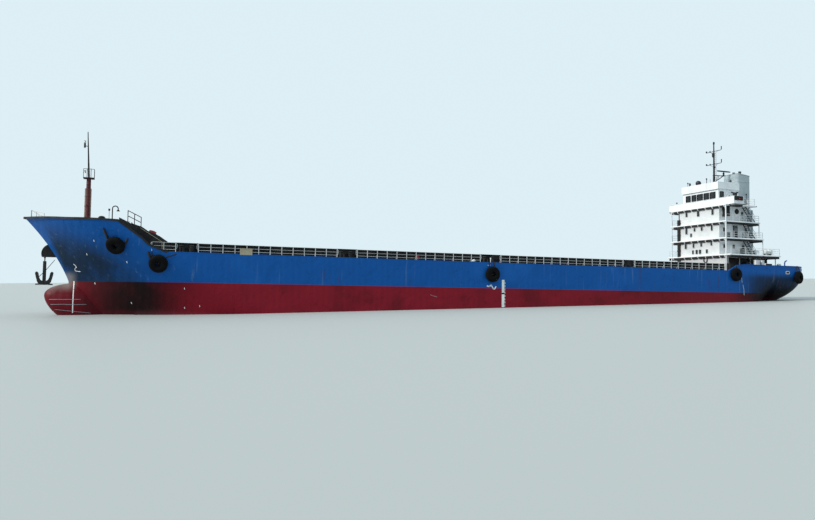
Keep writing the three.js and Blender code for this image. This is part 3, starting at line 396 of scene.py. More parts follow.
def fade(tree, place, weights, start, end, amount=1.0):
    # A share that grows smoothly from 0 between two values of a weighted sum of the ship's x, y and z in
    # metres
    along = addNode(tree, "VectorMath", {0: place, 1: tuple(w / modelScale for w in weights)},
                    output="Value", operation="DOT_PRODUCT")
    return cutRange(tree, along, start, end, amount)


def together(tree, *shares):
    # Several shares multiplied
    product = shares[0]
    for share in shares[1:]:
        product = addNode(tree, "Math", {0: product, 1: share}, operation="MULTIPLY")
    return product


def coats(tree, base, *layers):
    # Colours laid over a base: each layer is a colour and the share of it that covers what lies below
    colour = toLinear(base) if isinstance(base, str) else base
    for over, share in layers:
        over = toLinear(over) if isinstance(over, str) else over
        colour = addNode(tree, "Mix", {0: share, 6: colour, 7: over}, output=2, data_type="RGBA")
    return colour


def dulled(tree, share, low, high):
    # A number that goes from low to high with a share
    return addNode(tree, "MapRange", {"Value": share, "To Min": low, "To Max": high})


def relief(tree, *fields):
    # Bump over bump: each height field with its depth in millimetres of the real ship
    normal = None
    for field, depth in fields:
        inputs = {"Height": field, "Strength": 1.0, "Distance": depth * modelScale / 1000}
        if normal is not None:
            inputs["Normal"] = normal
        normal = addNode(tree, "Bump", inputs)
    return normal


photoCamera = {
    "place": (46.141, 86.993, 0.960),          # metres of the real ship
    "axes": ((-0.92440, 0.38123, 0.01241), (0.03110, 0.04290, 0.99860), (0.38016, 0.92348, -0.05151)),
    "lens": 32.08,
}
seaLevel = (0.02711, 0.01815,
            0.99947)         # the water plane's normal: trimmed by the stern, heeled to starboard
studio = {
    "floor": "#a5aaaa", "floorReach": 900.0, "sky": "#e6f8ff", "skyStrength": 0.92,
    "keyStrength": 3.3, "keyColour": "#fff8ee", "keyAngle": 9.0, "keyFrom": (0.84, 0.05, 0.55),
}


def addCamera():
    # The photograph's view: its place in real metres, scaled to the model
    data = bpy.data.cameras.new("photoView")
    data.sensor_width, data.lens, data.clip_end = 36, photoCamera["lens"], 500
    place = np.array(photoCamera["place"]) * modelScale
    bpy.context.scene.camera = addToScene("photoView", data, photoCamera["axes"], place)


def addFloor():
    # The floor lies in the water plane through the origin: a ring from a loop inside the hull's double side
    # out to a wide circle. It is open within the loop, so that no floor shows in the holds.
    x = np.linspace(-38, 43.5, 60)
    half = np.minimum(7.3, hullHalf(x, 0.0) - 0.35)
    loop = np.concatenate([np.stack([x, half], -1), np.stack([x, -half], -1)[::-1]]) * modelScale
    rings = np.stack([unit(loop) * studio["floorReach"] * modelScale, loop])
    level = -(rings @ np.array(seaLevel[:2]))[..., None] / seaLevel[2]
    points, faces = gridShape(np.concatenate([rings, level], -1), closeV=True)
    mesh = bpy.data.meshes.new("floor")
    mesh.from_pydata(points.tolist(), [], faces[0].tolist())
    material = newMaterial("plainFloor")[0]
    mesh.materials.append(finished(material, {"Base Color": toLinear(studio["floor"]), "Roughness": 0.6}))
    floor = addToScene("floor", mesh)


def addLight():
    # A soft key light from the bow under an even sky
    world = bpy.data.worlds.new("studio")
    world.use_nodes = True
    backdrop = world.node_tree.nodes["Background"]
    backdrop.inputs["Color"].default_value = toLinear(studio["sky"])
    backdrop.inputs["Strength"].default_value = studio["skyStrength"]
    bpy.context.scene.world = world
    data = bpy.data.lights.new("key", "SUN")
    data.energy, data.color = studio["keyStrength"], toLinear(studio["keyColour"])[:3]
    data.angle = np.radians(studio["keyAngle"])
    towards = unit(np.array(studio["keyFrom"]))
    across = unit(np.cross([0, 0, 1.0], towards))
    addToScene("key", data, (across, np.cross(towards, across), towards))
    bpy.context.scene.view_settings.view_transform = "Standard"


hull = {
    "halfBeam": 8.13, "keelZ": -3.3, "deckZ": 5.3, "bilge": 1.3,
    "sternX": -54.5, "quarter": 5.7, "skegEndX": -45.6, "apertureTopZ": 0.35, "stemFoot": (50.07, 2.3),
    "paintZ": 2.23, "sternBlockX": -30.0, "bowBlockX": 26.0, "forecastleAftX": 44.15, "wall": 0.12,
    "bulwarkTop": ((40.5, 5.36), (42.4, 6.1), (43.1, 6.8), (45.4, 8.45), (50.0, 8.6), (54.6, 9.0)),
    "sternBulwarkTop": ((-39.4, 6.33), (-37.9, 6.17), (-36.2, 5.3)), "leanZ": 8.6, "rows": 46,
}
# rows are [x, deck height, half width of the hold's opening, height of its floor]; equal x makes an upright
# wall
holdPlan = np.array([
    (-54.5, 5.3, 6.0, 5.3), (-36.3, 5.3, 6.6, 5.3), (-36.3, 5.3, 6.6, 1.6), (-30.0, 5.3, 6.6, 1.6),
    (-30.0, 5.3, 6.6, -2.0), (26.0, 5.3, 6.6, -2.0), (26.0, 5.3, 5.4, 1.6), (38.0, 5.3, 5.4, 1.6),
    (38.0, 5.3, 5.4, 5.3), (44.15, 5.3, 5.4, 5.3), (44.15, 7.5, 5.4, 7.5), (56.0, 7.5, 5.4, 7.5),
])
# stations of the sections, from the quarter to the forecastle's wall: [start, end, steps, first step kept]
stationRuns = ((-48.8, -46.2, 7, 1), (-45.9, -45.6, 1, 0), (-45.6, -38.1, 11, 1), (-38.1, -36.3, 3, 1),
               (-36.3, -36.2, 1, 0), (-36.2, -30.0, 7, 1), (-30.0, -30.0, 1, 1), (-30.0, 26.0, 14, 1),
               (26.0, 26.0, 1, 1), (26.0, 38.0, 18, 1), (38.0, 38.0, 1, 1), (38.0, 40.5, 4, 1),
               (40.5, 42.4, 3, 1), (43.1, 43.7, 1, 0), (44.15, 44.15, 1, 0))
bulb = {"tipX": 52.45, "axisZ": 0.75, "length": 8.8, "top": (1.3, 3), "bottom": (4.0, 7, 0.58),
        "half": (1.75, 4),
        "taper": 0.13}


def stemX(z):
    # The stem's forward edge: a hollow rake above the foot, a rounded forefoot below it
    up = z - hull["stemFoot"][1]
    return hull["stemFoot"][0] + np.where(up >= 0, 0.407 * up + 0.0392 * up * up, 0.1 * up + 0.0228 * up ** 3)


def bilgeShare(z):
    # Share of the half beam left inside the bilge's quarter circle
    depth = np.clip(hull["bilge"] - (z - hull["keelZ"]), 0, hull["bilge"])
    inset = hull["bilge"] - np.sqrt(hull["bilge"] ** 2 - depth ** 2)
    return (hull["halfBeam"] - inset) / hull["halfBeam"]


def foreHalf(x, z):
    # Half breadth forward: the beam, falling to the stem by a power that grows with height
    height = (z - hull["keelZ"]) / (hull["deckZ"] - hull["keelZ"])
    start = hull["bowBlockX"] + 13.5 * np.minimum(height, 1.35)
    full = 1.55 + 0.95 * np.clip(height, 0, 1.2)
    along = np.clip((x - start) / (stemX(z) - start), 0, 1)
    return 0.14 + (hull["halfBeam"] * bilgeShare(z) - 0.14) * (1 - along ** full)


def sternPlan(x):
    # The deck's outline aft: full beam, then a quarter circle into the short transom
    past = np.clip(hull["sternX"] + hull["quarter"] - x, 0, hull["quarter"])
    return hull["halfBeam"] - hull["quarter"] + np.sqrt(hull["quarter"] ** 2 - past ** 2)


def sternBottom(x):
    # Lowest point on the centreline aft: keel, propeller aperture, then a counter that rises by a power
    past = -46.2 - x
    cut = hull["keelZ"] + (hull["apertureTopZ"] - hull["keelZ"]) * (hull["skegEndX"] - x) / 0.6
    rise = hull["apertureTopZ"] + 0.00533 * np.maximum(past, 0) ** 3.09
    return np.where(x >= hull["skegEndX"], hull["keelZ"], np.where(past <= 0, cut, rise))


def aftHalf(x, z):
    # Half breadth aft: superelliptic sections, boxes forward and hollow with a skeg aft; a straight wall
    # above deck
    low = sternBottom(x)
    drop = np.clip((hull["deckZ"] - z) / (hull["deckZ"] - low), 0, 1)
    run = np.clip((hull["sternBlockX"] - x) / (hull["sternBlockX"] - hull["skegEndX"]), 0, 1)
    counter = x < hull["skegEndX"]
    depthPower = np.where(counter, 2.2, 14 * (1 - run) ** 1.5 + 2.2)
    widthPower = np.where(counter, 0.5, 0.12 + 1.55 * run ** 1.6)
    return 0.12 + (sternPlan(x) - 0.12) * np.maximum(1 - drop ** depthPower, 0) ** widthPower


def hullHalf(x, z):
    # Half breadth at any place: the after body, the parallel middle with its bilge, or the fore body
    middle = hull["halfBeam"] * bilgeShare(z)
    return np.where(x < hull["sternBlockX"], aftHalf(x, z),
                    np.where(x > hull["bowBlockX"], foreHalf(x, z), middle))


def bulwarkTopZ(x):
    # Height of the plating's upper edge: deck amidships, bulwarks fore and aft
    fore = np.interp(x, *zip(*hull["bulwarkTop"]), left=hull["deckZ"])
    aft = np.interp(x, *zip(*hull["sternBulwarkTop"]), right=hull["deckZ"])
    return np.where(x > 0, np.where(x < hull["bulwarkTop"][0][0], hull["deckZ"], fore), aft)


def bowLean():
    # Shares of the way from the forecastle's wall to the stem, close together at the stem. One is at the
    # bulwark's knuckle.
    wall = hull["forecastleAftX"]
    knuckle = (hull["bulwarkTop"][3][0] - wall) / (stemX(hull["leanZ"]) - wall)
    return np.unique(np.concatenate([np.sin(np.linspace(0, 1, 30)[1:] * pi / 2), [knuckle]]))


def leanedX(share, z):
    # Those shares as x at a height
    return hull["forecastleAftX"] + (stemX(z) - hull["forecastleAftX"]) * share


def hullPlatingShape():
    # Each section is a closed ring: plating from the port edge down, over the bottom and up, then the inner
    # side of the bulwark, the deck and the hold. Forward of the forecastle's wall the sections lean with the
    # stem. The last section lies flat in the middle plane, where both sides meet in the stem's edge. Stations
    # are close together round the stern, along the entrance and at the stem, and doubled at the holds' walls.
    stern = hull["sternX"] + hull["quarter"] * (1 - np.cos(np.linspace(0.0, pi / 2, 22)))
    fixed = np.concatenate([stern] + [np.linspace(a, b, steps + 1)[kept:] for a, b, steps,
                                      kept in stationRuns])
    lean = bowLean()
    stationX = np.concatenate([fixed, leanedX(lean, hull["leanZ"])])
    share = np.concatenate([np.zeros(len(fixed)), lean])[:, None]
    # beside a doubled station the plan is read just aft of it, then just forward of it
    nudge = np.zeros(len(stationX))
    same = np.flatnonzero(np.diff(stationX) == 0)
    nudge[same], nudge[same + 1] = -1e-4, 1e-4
    keys = holdPlan[:, 0] + np.arange(len(holdPlan)) * 1e-7
    deck, opening, floor = (np.interp(stationX + nudge, keys, holdPlan[:, k]) for k in (1, 2, 3))
    low = np.where(stationX < 0, sternBottom(stationX), hull["keelZ"])
    top = np.maximum(bulwarkTopZ(stationX), deck)
    z = low[:, None] + (top - low)[:, None] * np.linspace(1, 0, hull["rows"]) ** 1.25

    def placeX(height):
        # x of a ring point: the station's own, or leaned towards the stem's edge at that height
        return np.where(share > 0, leanedX(share, height), stationX[:, None] + 0 * height)

    def innerEdge(height):
        # x and half breadth of the plating's inner side at a height
        x = placeX(height[:, None])
        return x[:, 0], (hullHalf(x, height[:, None]) - hull["wall"])[:, 0]

    x = placeX(z)
    port = at(x, hullHalf(x, z), z)
    (topX, topHalf), (deckX, deckHalf) = innerEdge(top), innerEdge(deck)
    holdHalf = np.minimum(opening, deckHalf - 0.01)
    inner = ((topX, topHalf, top), (deckX, deckHalf, deck), (deckX, holdHalf, deck), (deckX, holdHalf, floor))
    inside = np.stack([at(a, np.maximum(b, 0.02), c) for a, b, c in inner], 1)
    ring = np.concatenate([port, port[:, ::-1] * [1, -1, 1], inside * [1, -1, 1], inside[:, ::-1]], 1)
    stemEdge = ring[-1:] * [1, 0, 1]
    outer = 2 * hull["rows"]
    stemEdge[:, :outer, 0] += 0.06
    ring = np.concatenate([ring, stemEdge])
    points, faces = gridShape(ring, closeV=True)
    # material numbers: 0 outside, 1 bulwark inside and deck, 2 hold
    number = np.zeros(ring.shape[1], int)
    number[outer:outer + 7] = [1, 1, 2, 2, 2, 1, 1]
    table = np.tile(number, (ring.shape[0] - 1, 1))
    decked = (floor == deck)[1:] & (floor == deck)[:-1]
    table[np.append(decked, True), outer + 3] = 1
    return (points, faces + [np.arange(ring.shape[1])[None, ::-1]]), np.append(table.ravel(), 0)


def bulbCurves(back):
    # The bulb's top, bottom and half width at a distance behind its tip: quarter ellipses, the bottom's a
    # little fuller, the width narrowing in a straight line behind the widest place
    def quarter(reach, power=0.5):
        # A quarter ellipse: 1 - (1 - back / reach) squared, to a power
        return (1 - (1 - np.minimum(back / reach, 1)) ** 2) ** power
    rise, topReach = bulb["top"]
    drop, lowReach, lowPower = bulb["bottom"]
    wide, reach = bulb["half"]
    return (bulb["axisZ"] + rise * quarter(topReach), bulb["axisZ"] - drop * quarter(lowReach, lowPower),
            wide * quarter(reach) - bulb["taper"] * np.maximum(back - reach, 0))


def bulbShape():
    # Elliptic rings across the keel line between the bulb's curves
    back = np.concatenate([[0.004, 0.02, 0.06, 0.12, 0.2], np.linspace(0.32, bulb["length"], 34)])[:, None]
    top, low, half = bulbCurves(back)
    turn = np.linspace(0, 2 * pi, 40, endpoint=False)
    return [lofted(at(bulb["tipX"] - back, half * np.sin(turn),
                      (top + low) / 2 + (top - low) / 2 * np.cos(turn)))]


def hullPaintWithShade():
    # Alkyd ship's paint rolled on steel plate: blue topsides over iron-oxide red, weathered by salt and
    # fenders. The eye gets flat colour broken by rust runs, salt bloom and scuffs, painted shade under the
    # flare, round the quarter and under the counter, faint hollows between frames 0.7 m apart, and a dark wet
    # band at the water.
    shadeAndScuffNavy, paintedShadeBlack, deepRed, shadeAndScuffRed, rust = "#0b243c", "#04090f", "#1d070a", "#170508", "#43291d"
    material, tree, place = newMaterial("shipsidePaintWithShade")

    def fades(*rows):
        # Several fades multiplied: [weights of x, y and z, start, end]
        return together(tree, *[fade(tree, place, *row) for row in rows])

    # painted shade: darker topsides under the flare and ahead of the fore shoulder, on the stern quarter, and
    # near black under the counter
    flare = fades(((1, 0, -0.9), 38.6, 43.6), ((0.31, 0, -1), 7.4, 10.3), ((1, 0, -0.42), 49.5, 48.8))
    quarter = fades(((0, 0, -1), -5.4, -4.3), ((-1, 0, 0), 37.5, 42.5))
    counter = fades(((0, 0, -1), -4.6, -2.4), ((-1, 0, 0), 39.5, 45.0))
    broken = patches(tree, place, 2600, 0.2, 0.6)
    runs = patches(tree, place, 900, 0.6, 0.8, 0.3, (2.2, 2.2, 0.12))
    scuffs = patches(tree, place, 420, 0.58, 0.8, 0.4)
    blue = coats(tree, "#094f96", ("#1a63b0", patches(tree, place, 5200, 0.52, 0.75, 0.35)),
                 (shadeAndScuffNavy, together(tree, flare, dulled(tree, broken, 0.6, 1.0))),
                 (shadeAndScuffNavy, together(tree, quarter, dulled(tree, broken, 0.7, 0.95))), (paintedShadeBlack, counter),
                 (shadeAndScuffNavy, scuffs), ("#7d94a6", runs))
    # the underwater red, darker towards both ends, with painted shade under the fore shoulder and a near
    # black painted shade on the stern quarter
    shoulder = fades(((1, 0, 0), 36.5, 42.5), ((1, 0, 0), 50.0, 44.5))
    red = coats(tree, "#7e1424", (deepRed, fade(tree, place, (1, 0, 0), 41.0, 48.0, 0.5)),
                (deepRed, fade(tree, place, (-1, 0, 0), 0.0, 30.0, 0.25)),
                (shadeAndScuffRed, together(tree, shoulder, dulled(tree, broken, 0.8, 1.0))),
                (paintedShadeBlack, fade(tree, place, (-1, 0, 0), 36.0, 43.0, 0.97)),
                (deepRed, patches(tree, place, 3100, 0.45, 0.7, 0.35)), (shadeAndScuffRed, scuffs))
    bleeding = together(tree, patches(tree, place, 1000, 0.6, 0.72, 1.0, (2.2, 2.2, 0.12)),
                        patches(tree, place, 3300, 0.5, 0.66, 0.5))
    specks = together(tree, quarter, patches(tree, place, 420, 0.6, 0.72, 0.5))
    wet = fade(tree, place, seaLevel, 0.7, 0.1, 0.2)
    # the stem's foot and the bulb's crown, chalked and rubbed bare
    crown = together(tree, fades(((1, 0, 0), 49.0, 50.4), ((0, 0, 1), 0.9, 2.0), ((0, 0, -1), -3.5, -2.7)),
                     dulled(tree, broken, 0.45, 0.9))
    paintLine = fade(tree, place, (0, 0, 1), hull["paintZ"] - 0.06, hull["paintZ"] + 0.06)
    colour = coats(tree, red, (blue, paintLine), (rust, bleeding), (rust, specks), ("#7a1429", wet),
                   ("#8b8581", crown))
    along = addNode(tree, "SeparateXYZ", {0: place})
    waves = addNode(tree, "Math", {0: along, 1: 2 * pi / (0.7 * modelScale)}, operation="MULTIPLY")
    hollows = addNode(tree, "Math", {0: waves}, operation="SINE")
    return finished(material, {"Base Color": colour, "Roughness": dulled(tree, wet, 0.5, 0.35),
                               "Normal": relief(tree, (hollows, 4.0), (broken, 60.0), (scuffs, 8.0)),
                               "Specular IOR Level": 0.12})


def platePaint(name, base, worn, stain, roughness=0.45, stainShare=0.5, patchSize=1250):
    # Brushed alkyd gloss on steel plate and bar: chalky patches, and runs of rust or soot drawn down from
    # edges. The eye gets soft changes of tone and a sheen that breaks where the paint has chalked.
    material, tree, place = newMaterial(name)
    chalk = patches(tree, place, patchSize, 0.42, 0.68)
    runs = patches(tree, place, patchSize / 2, 0.6, 0.78, stainShare, (1.6, 1.6, 0.1))
    brush = patches(tree, place, patchSize / 8, 0.2, 0.8)
    return finished(material,
                    {"Base Color": coats(tree, base, (worn, together(tree, chalk, 0.45)), (stain, runs)),
                               "Roughness": dulled(tree, chalk, roughness, roughness + 0.22),
                               "Normal": relief(tree, (chalk, 12.0), (brush, 3.0))})


def weathered(name, base, layers, rough, bumps=(), others=()):
    # One colour under layers of patches. layers: [colour or None, millimetres, low, high, amount, stretch];
    # rough: a number, or [layer, lowest, highest]; bumps: [layer, millimetres]; others: further numbers of
    # the shader
    material, tree, place = newMaterial(name)
    fields = [patches(tree, place, *layer[1:]) for layer in layers]
    inputs = {"Base Color": coats(tree, base,
                                  *[(row[0], field) for row, field in zip(layers, fields) if row[0]]),
              "Roughness": rough if isinstance(rough, float) else dulled(tree, fields[rough[0]], *rough[1:])}
    if bumps:
        inputs["Normal"] = relief(tree, *[(fields[k], depth) for k, depth in bumps])
    return finished(material, {**inputs, **dict(others)})


def bareDeck(name, base, worn, spot, patchSize=1600):
    # Iron-oxide primer or deck paint on plate that is walked and loaded on: matt, worn grey, rusting in spots
    return weathered(name, base, [(worn, patchSize, 0.4, 0.65), (spot, patchSize / 7, 0.55, 0.75, 0.6)], 0.75,
                     [(1, 8.0)])


def castSteel(name, base, rustShare):
    # Cast or forged steel under thick bitumen paint, pitted over 110 mm and stained with rust
    return weathered(name, base, [(None, 110, 0.2, 0.8), ("#4a2a1a", 670, 0.5, 0.7, rustShare)],
                     (1, 0.55, 0.8),
                     [(0, 12.0)], {"Metallic": 0.1})


def gelcoat(name, base, worn, roughness=0.35):
    # Glass-fibre gelcoat or moulded plastic, chalked by the sun in broad patches and finely scratched
    return weathered(name, base, [(worn, 670, 0.4, 0.7), (None, 80, 0.3, 0.7, 1.0, (0.2, 1, 1))],
                     (1, roughness, roughness + 0.25), [(1, 2.0)])


def laidRope():
    # Three-strand laid polypropylene, sun-bleached and tarred by tyres; strands cross the rope every 60 mm
    material, tree, place = newMaterial("laidRope")
    strand = addNode(tree, "TexWave",
                     {"Vector": place, "Scale": 1 / (0.06 * modelScale * 2), "Distortion": 0.5},
                     output="Fac", wave_type="BANDS", bands_direction="DIAGONAL")
    return finished(material, {"Base Color": coats(tree, "#0b0b0a", ("#1c1b19", strand)), "Roughness": 0.9,
                               "Normal": relief(tree, (strand, 12.0))})


def galvanised():
    # Hot-dip galvanised steel: dull zinc grey with a spangle about 80 mm across
    material, tree, place = newMaterial("galvanisedSteel")
    spangle = addNode(tree, "TexVoronoi", {"Vector": place, "Scale": 1 / (0.08 * modelScale)}, output="Color")
    grey = addNode(tree, "RGBToBW", {0: spangle})
    return finished(material, {"Base Color": coats(tree, "#6f7578", ("#979da0", grey)), "Metallic": 0.7,
                               "Roughness": dulled(tree, grey, 0.4, 0.6)})


def lampLens(name, colour):
    # Moulded polycarbonate lens of a navigation light, ribbed every 40 mm
    material, tree, place = newMaterial(name)
    ribs = addNode(tree, "TexWave", {"Vector": place, "Scale": 1 / (0.04 * modelScale * 2)}, output="Fac",
                   bands_direction="Z")
    return finished(material, {"Base Color": coats(tree, colour, ("#22262a", together(tree, ribs, ribs))),
                               "Roughness": 0.15, "IOR": 1.58, "Normal": relief(tree, (ribs, 5.0))})


shipside = hullPaintWithShade()
decking = bareDeck("deckRedOxide", "#7a3b30", "#5c3a31", "#4a2c20")
holdLining = bareDeck("holdPrimer", "#7d5148", "#6a4038", "#4b2d20", patchSize=2000)
whitePaint = platePaint("houseWhitePaint", "#d9dee1", "#bfc6cb", "#8b857f", stainShare=0.4)
# dark grey for the stairs and lockers of the house's side galleries, which stands for the shade there
paintedShadeGrey = platePaint("stairGreyPaintedShade", "#3c4246", "#2c3134", "#2a2420", roughness=0.6)
railPaint = platePaint("railWhitePaint", "#b9bec0", "#8f9494", "#7b6a5b", patchSize=780)
blackPaint = platePaint("coamingBlackPaint", "#06080a", "#101317", "#1e1612", roughness=0.7)
mastRed = platePaint("mastRedPaint", "#5a1c24", "#3a151b", "#220f12", roughness=0.6)
stileBeige = platePaint("stileBeigePaint", "#a49c86", "#8a836f", "#5f4c3c", roughness=0.6)
machineGrey = platePaint("machineGreyPaint", "#5e666b", "#4a5054", "#3b2c24", roughness=0.55)
rudderRed = platePaint("rudderRedPaint", "#6b1c26", "#4a141b", "#2a1512", roughness=0.6)
safetyRed = platePaint("fireBoxRedPaint", "#8a1620", "#62121a", "#2c1210")
funnelGrey = platePaint("funnelGreyPaint", "#9aa8ae", "#879399", "#5f5e5a", roughness=0.5)
markWhite = platePaint("markWhitePaint", "#e4e8e8", "#c4c9c9", "#8d8a84", roughness=0.5, patchSize=400)
# vulcanised truck-tyre rubber, near black and matt, dusty where it has rubbed
tyreBlack = weathered("tyreRubber", "#040506", [("#121212", 330, 0.5, 0.75, 0.6)], 0.9, [(0, 12.0)],
                      {"Specular IOR Level": 0.15})
# toughened float glass in front of a dim room: dark, smooth and mirror-like, smeared by salt
glassDark = weathered("windowGlass", "#05080b", [("#141b21", 500, 0.3, 0.7)], (0, 0.05, 0.2), (),
                      {"IOR": 1.5})
# nickel-aluminium bronze, ground smooth, tarnished brown in patches
bronze = weathered("propellerBronze", "#b08a4a", [("#6e5a38", 400, 0.4, 0.7)], (0, 0.25, 0.5), (),
                   {"Metallic": 1.0})
ropeTarred, zinc = laidRope(), galvanised()
anchorBlack, chainSteel = castSteel("anchorBitumen", "#0e1013", 0.35), castSteel("chainBitumen", "#1a1a1b",
                                                                                 0.6)
rustySteel = castSteel("rustySteel", "#1d1614", 0.45)
redLens, greenLens = lampLens("sidelightRed", "#b01418"), lampLens("sidelightGreen", "#0f8a4a")
clearLens = lampLens("mastheadLens", "#d8dcd6")
boatOrange = gelcoat("boatOrangeGelcoat", "#d9591c", "#b8532a")
raftWhite = gelcoat("raftWhiteGelcoat", "#dfe3e2", "#b9bdbc")
buoyOrange = gelcoat("lifebuoyOrange", "#e0521a", "#c24a1e", roughness=0.5)
radomeBlack = gelcoat("radomeBlack", "#15181b", "#26292c", roughness=0.4)
print("stage: materials")


def dressNode(name, material):
    # A carried-over node keeps its mesh and takes a finished material
    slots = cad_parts[name].data.materials
    slots.clear()
    slots.append(material)


addCamera()
addFloor()
addLight()
print("stage: camera, floor and light")
hullShape, hullMarks = hullPlatingShape()
addPiece("hullPlating", [hullShape], [shipside, decking, holdLining], weld=True,
         marks=hullMarks,
         stands=["hull_bow", "hull_stern", "hull_wing_port", "hull_wing_starboard", "hull_double_bottom",
                 "forecastle", "forecastle_bulwark", "stern_bulwark"], sharp=32)
addPiece("bulbPlating", bulbShape(), shipside, sharp=60)
print("stage: hull plating")


capRail = {"width": 0.3, "thick": 0.10, "lift": 0.02, "lip": 0.16,
           "aftStations": (40.55, 41.4, 42.4, 43.1, 43.7, 44.15, 44.8)}


def bulwarkCapShape():
    # A flat bar with a hanging lip carried along the bow bulwark's upper edge, from one after end round the
    # stem to the other
    lean = bowLean()
    leaned = leanedX(lean, hull["leanZ"])
    forward = leaned > hull["bulwarkTop"][3][0] - 1e-6
    aft = capRail["aftStations"]
    top = bulwarkTopZ(np.concatenate([aft, leaned[forward]]))
    x = np.concatenate([aft, leanedX(lean[forward], top[len(aft):])])
    port = at(x, hullHalf(x, top) - capRail["width"] / 2 + 0.04, top + capRail["lift"])
    port[-1, 1] = 0.12
    path = np.concatenate([port, [[x[-1] + 0.03, 0, top[-1] + capRail["lift"]]], port[::-1] * [1, -1, 1]])
    w, t, lip = capRail["width"] / 2, capRail["thick"] / 2, capRail["lip"]
    return [sweep(path, [(-w, -lip), (0.05 - w, -lip), (0.05 - w, -t), (w, -t), (w, t), (-w, t)])]


def sternCapShape():
    # The same bar round the stern bulwark
    reach = hull["quarter"] - 0.06
    straight = [(x, 8.07) for x in (-36.25, -37.0, -37.9, -39.4, -44.0)]
    quarter = arc(hull["sternX"] + hull["quarter"], hull["halfBeam"] - hull["quarter"], reach, pi / 2, pi, 26)
    x, y = np.concatenate([straight, quarter]).T
    port = at(x, y, bulwarkTopZ(x) + 0.03)
    return [sweep(np.concatenate([port, port[::-1] * [1, -1, 1]]), flatBar(0.11, 0.04))]


railing = {
    "y": 8.0, "heights": (5.64, 5.99, 6.36), "barRadius": 0.02, "postHalf": (0.034, 0.03), "corner": 0.28,
    "runs": ((42.25, 39.6), (37.6, 22.1), (20.0, 3.8), (1.2, -17.8), (-19.5, -36.0)), "spacing": 1.27,
}


def deckRailShape():
    # For each run: a closed loop of tube with round ends through the top and bottom bars, a middle bar, posts
    # and a knee behind every second post
    y, (low, middle, high) = railing["y"], railing["heights"]
    for fore, aft in railing["runs"]:
        loop = roundRect(aft, fore, low, high, railing["corner"], 6)
        yield tube(laid(loop[::-1], "y", y), railing["barRadius"], 8, (0, 1, 0), closed=True)
        yield bars((fore, y, middle), (aft, y, middle), railing["barRadius"] * 0.85)
        count = max(int(round((fore - aft - 0.3) / railing["spacing"])), 1)
        x = np.linspace(fore - 0.15, aft + 0.15, count + 1)
        hx, hy = railing["postHalf"]
        yield boxes(at(x - hx, y - hy, hull["deckZ"]), at(x + hx, y + hy, high))
        yield bars(at(x[::2], y - 0.42, hull["deckZ"]), at(x[::2], y - 0.03, 5.9), 0.025, 6)


bollards = {"places": ((38.6, 7.35), (21.05, 7.35), (2.5, 7.35), (-18.65, 7.35)), "radius": 0.2,
            "height": 0.78,
            "apart": 1.1}


def bollardShape():
    # Two posts with mushroom heads on a bed plate, each turned from one profile; roller fairleads beside them
    r, h = bollards["radius"], bollards["height"]
    post = [(0, r), (0.05, r), (h - 0.14, r), (h - 0.1, r + 0.07), (h - 0.04, r + 0.07), (h, r - 0.03)]
    roller = [(0, 0.17), (0.06, 0.17), (0.1, 0.12), (0.4, 0.12), (0.44, 0.17), (0.5, 0.17)]
    for x, y in bollards["places"]:
        for side in (-1, 1):
            yield lathe(post, (x + side * bollards["apart"] / 2, y, 5.38), sides=16)
        yield boxes((x - 0.95, y - 0.3, 5.3), (x + 0.95, y + 0.3, 5.38))
        for side in (-1, 1):
            yield lathe(roller, (x + side * 0.35, 7.86, 5.36), sides=14)
        yield boxes((x - 0.6, 7.68, 5.3), (x + 0.6, 8.05, 5.36))


coaming = {"outer": 6.76, "fore": 40.4, "aft": -36.9, "stayStep": 2.54}


def coamingStayShape():
    # Three-cornered stays against the coaming's outer side, a flat flange along its top and a stiffener half
    # way up
    x = np.arange(coaming["aft"] + 0.6, 40.2, coaming["stayStep"])
    y0, y1 = coaming["outer"] - 0.02, coaming["outer"] + 0.5
    outline = laid([(y0, 5.3), (y1, 5.3), (y1, 5.42), (y0 + 0.12, 6.36), (y0, 6.36)], "x", 0)
    yield ringPairs(x[:, None, None, None] * [1, 0,
                                              0] + np.stack([outline - [0.02, 0, 0], outline + [0.02, 0, 0]]))
    yield boxes([(coaming["aft"], 6.7, 6.40), (coaming["aft"], 6.7, 5.86)],
                [(coaming["fore"], 6.98, 6.45), (coaming["fore"], 6.88, 5.9)])


addPiece("bowCapRail", bulwarkCapShape(), blackPaint)
addPiece("sternCapRail", sternCapShape(), shipside)
addPiece("deckRails", deckRailShape(), railPaint,
         stands=["deck_rail_port", "deck_rail_starboard"],
         both=True)
# a low flat bar welded on edge along the deck's side
addPiece("fishplates", [boxes((-36.1, 8.0, 5.3), (40.4, 8.08, 5.42))], shipside, both=True,
         bevel=0.01)
addPiece("bollards", bollardShape(), blackPaint, both=True)
addPiece("coamingStays", coamingStayShape(), blackPaint, both=True)


foremast = {
    "x": 48.45, "foot": 7.5, "head": 13.7, "radius": (0.27, 0.23), "stileOut": 0.3,
    "rungStep": 0.33, "platform": (13.6, 0.55), "topHead": 18.8, "topLean": 0.25, "crosstree": (15.26, 2.0),
    "branch": (17.2, 0.62), "lampZ": (14.2, 17.5),
}


def mastTubeShape():
    # A tapering plate tube with a foot flange and a band, turned from one profile
    low, high = foremast["foot"], foremast["head"]
    r0, r1 = foremast["radius"]
    profile = [(0, r0 + 0.16), (0.06, r0 + 0.16), (0.07, r0), (3.0, r0 - 0.015), (3.02, r0 + 0.02),
               (3.14, r0 + 0.02),
               (3.16, r0 - 0.02), (high - low - 0.05, r1), (high - low, r1 + 0.05)]
    yield lathe(profile, (foremast["x"], 0, low), sides=28)


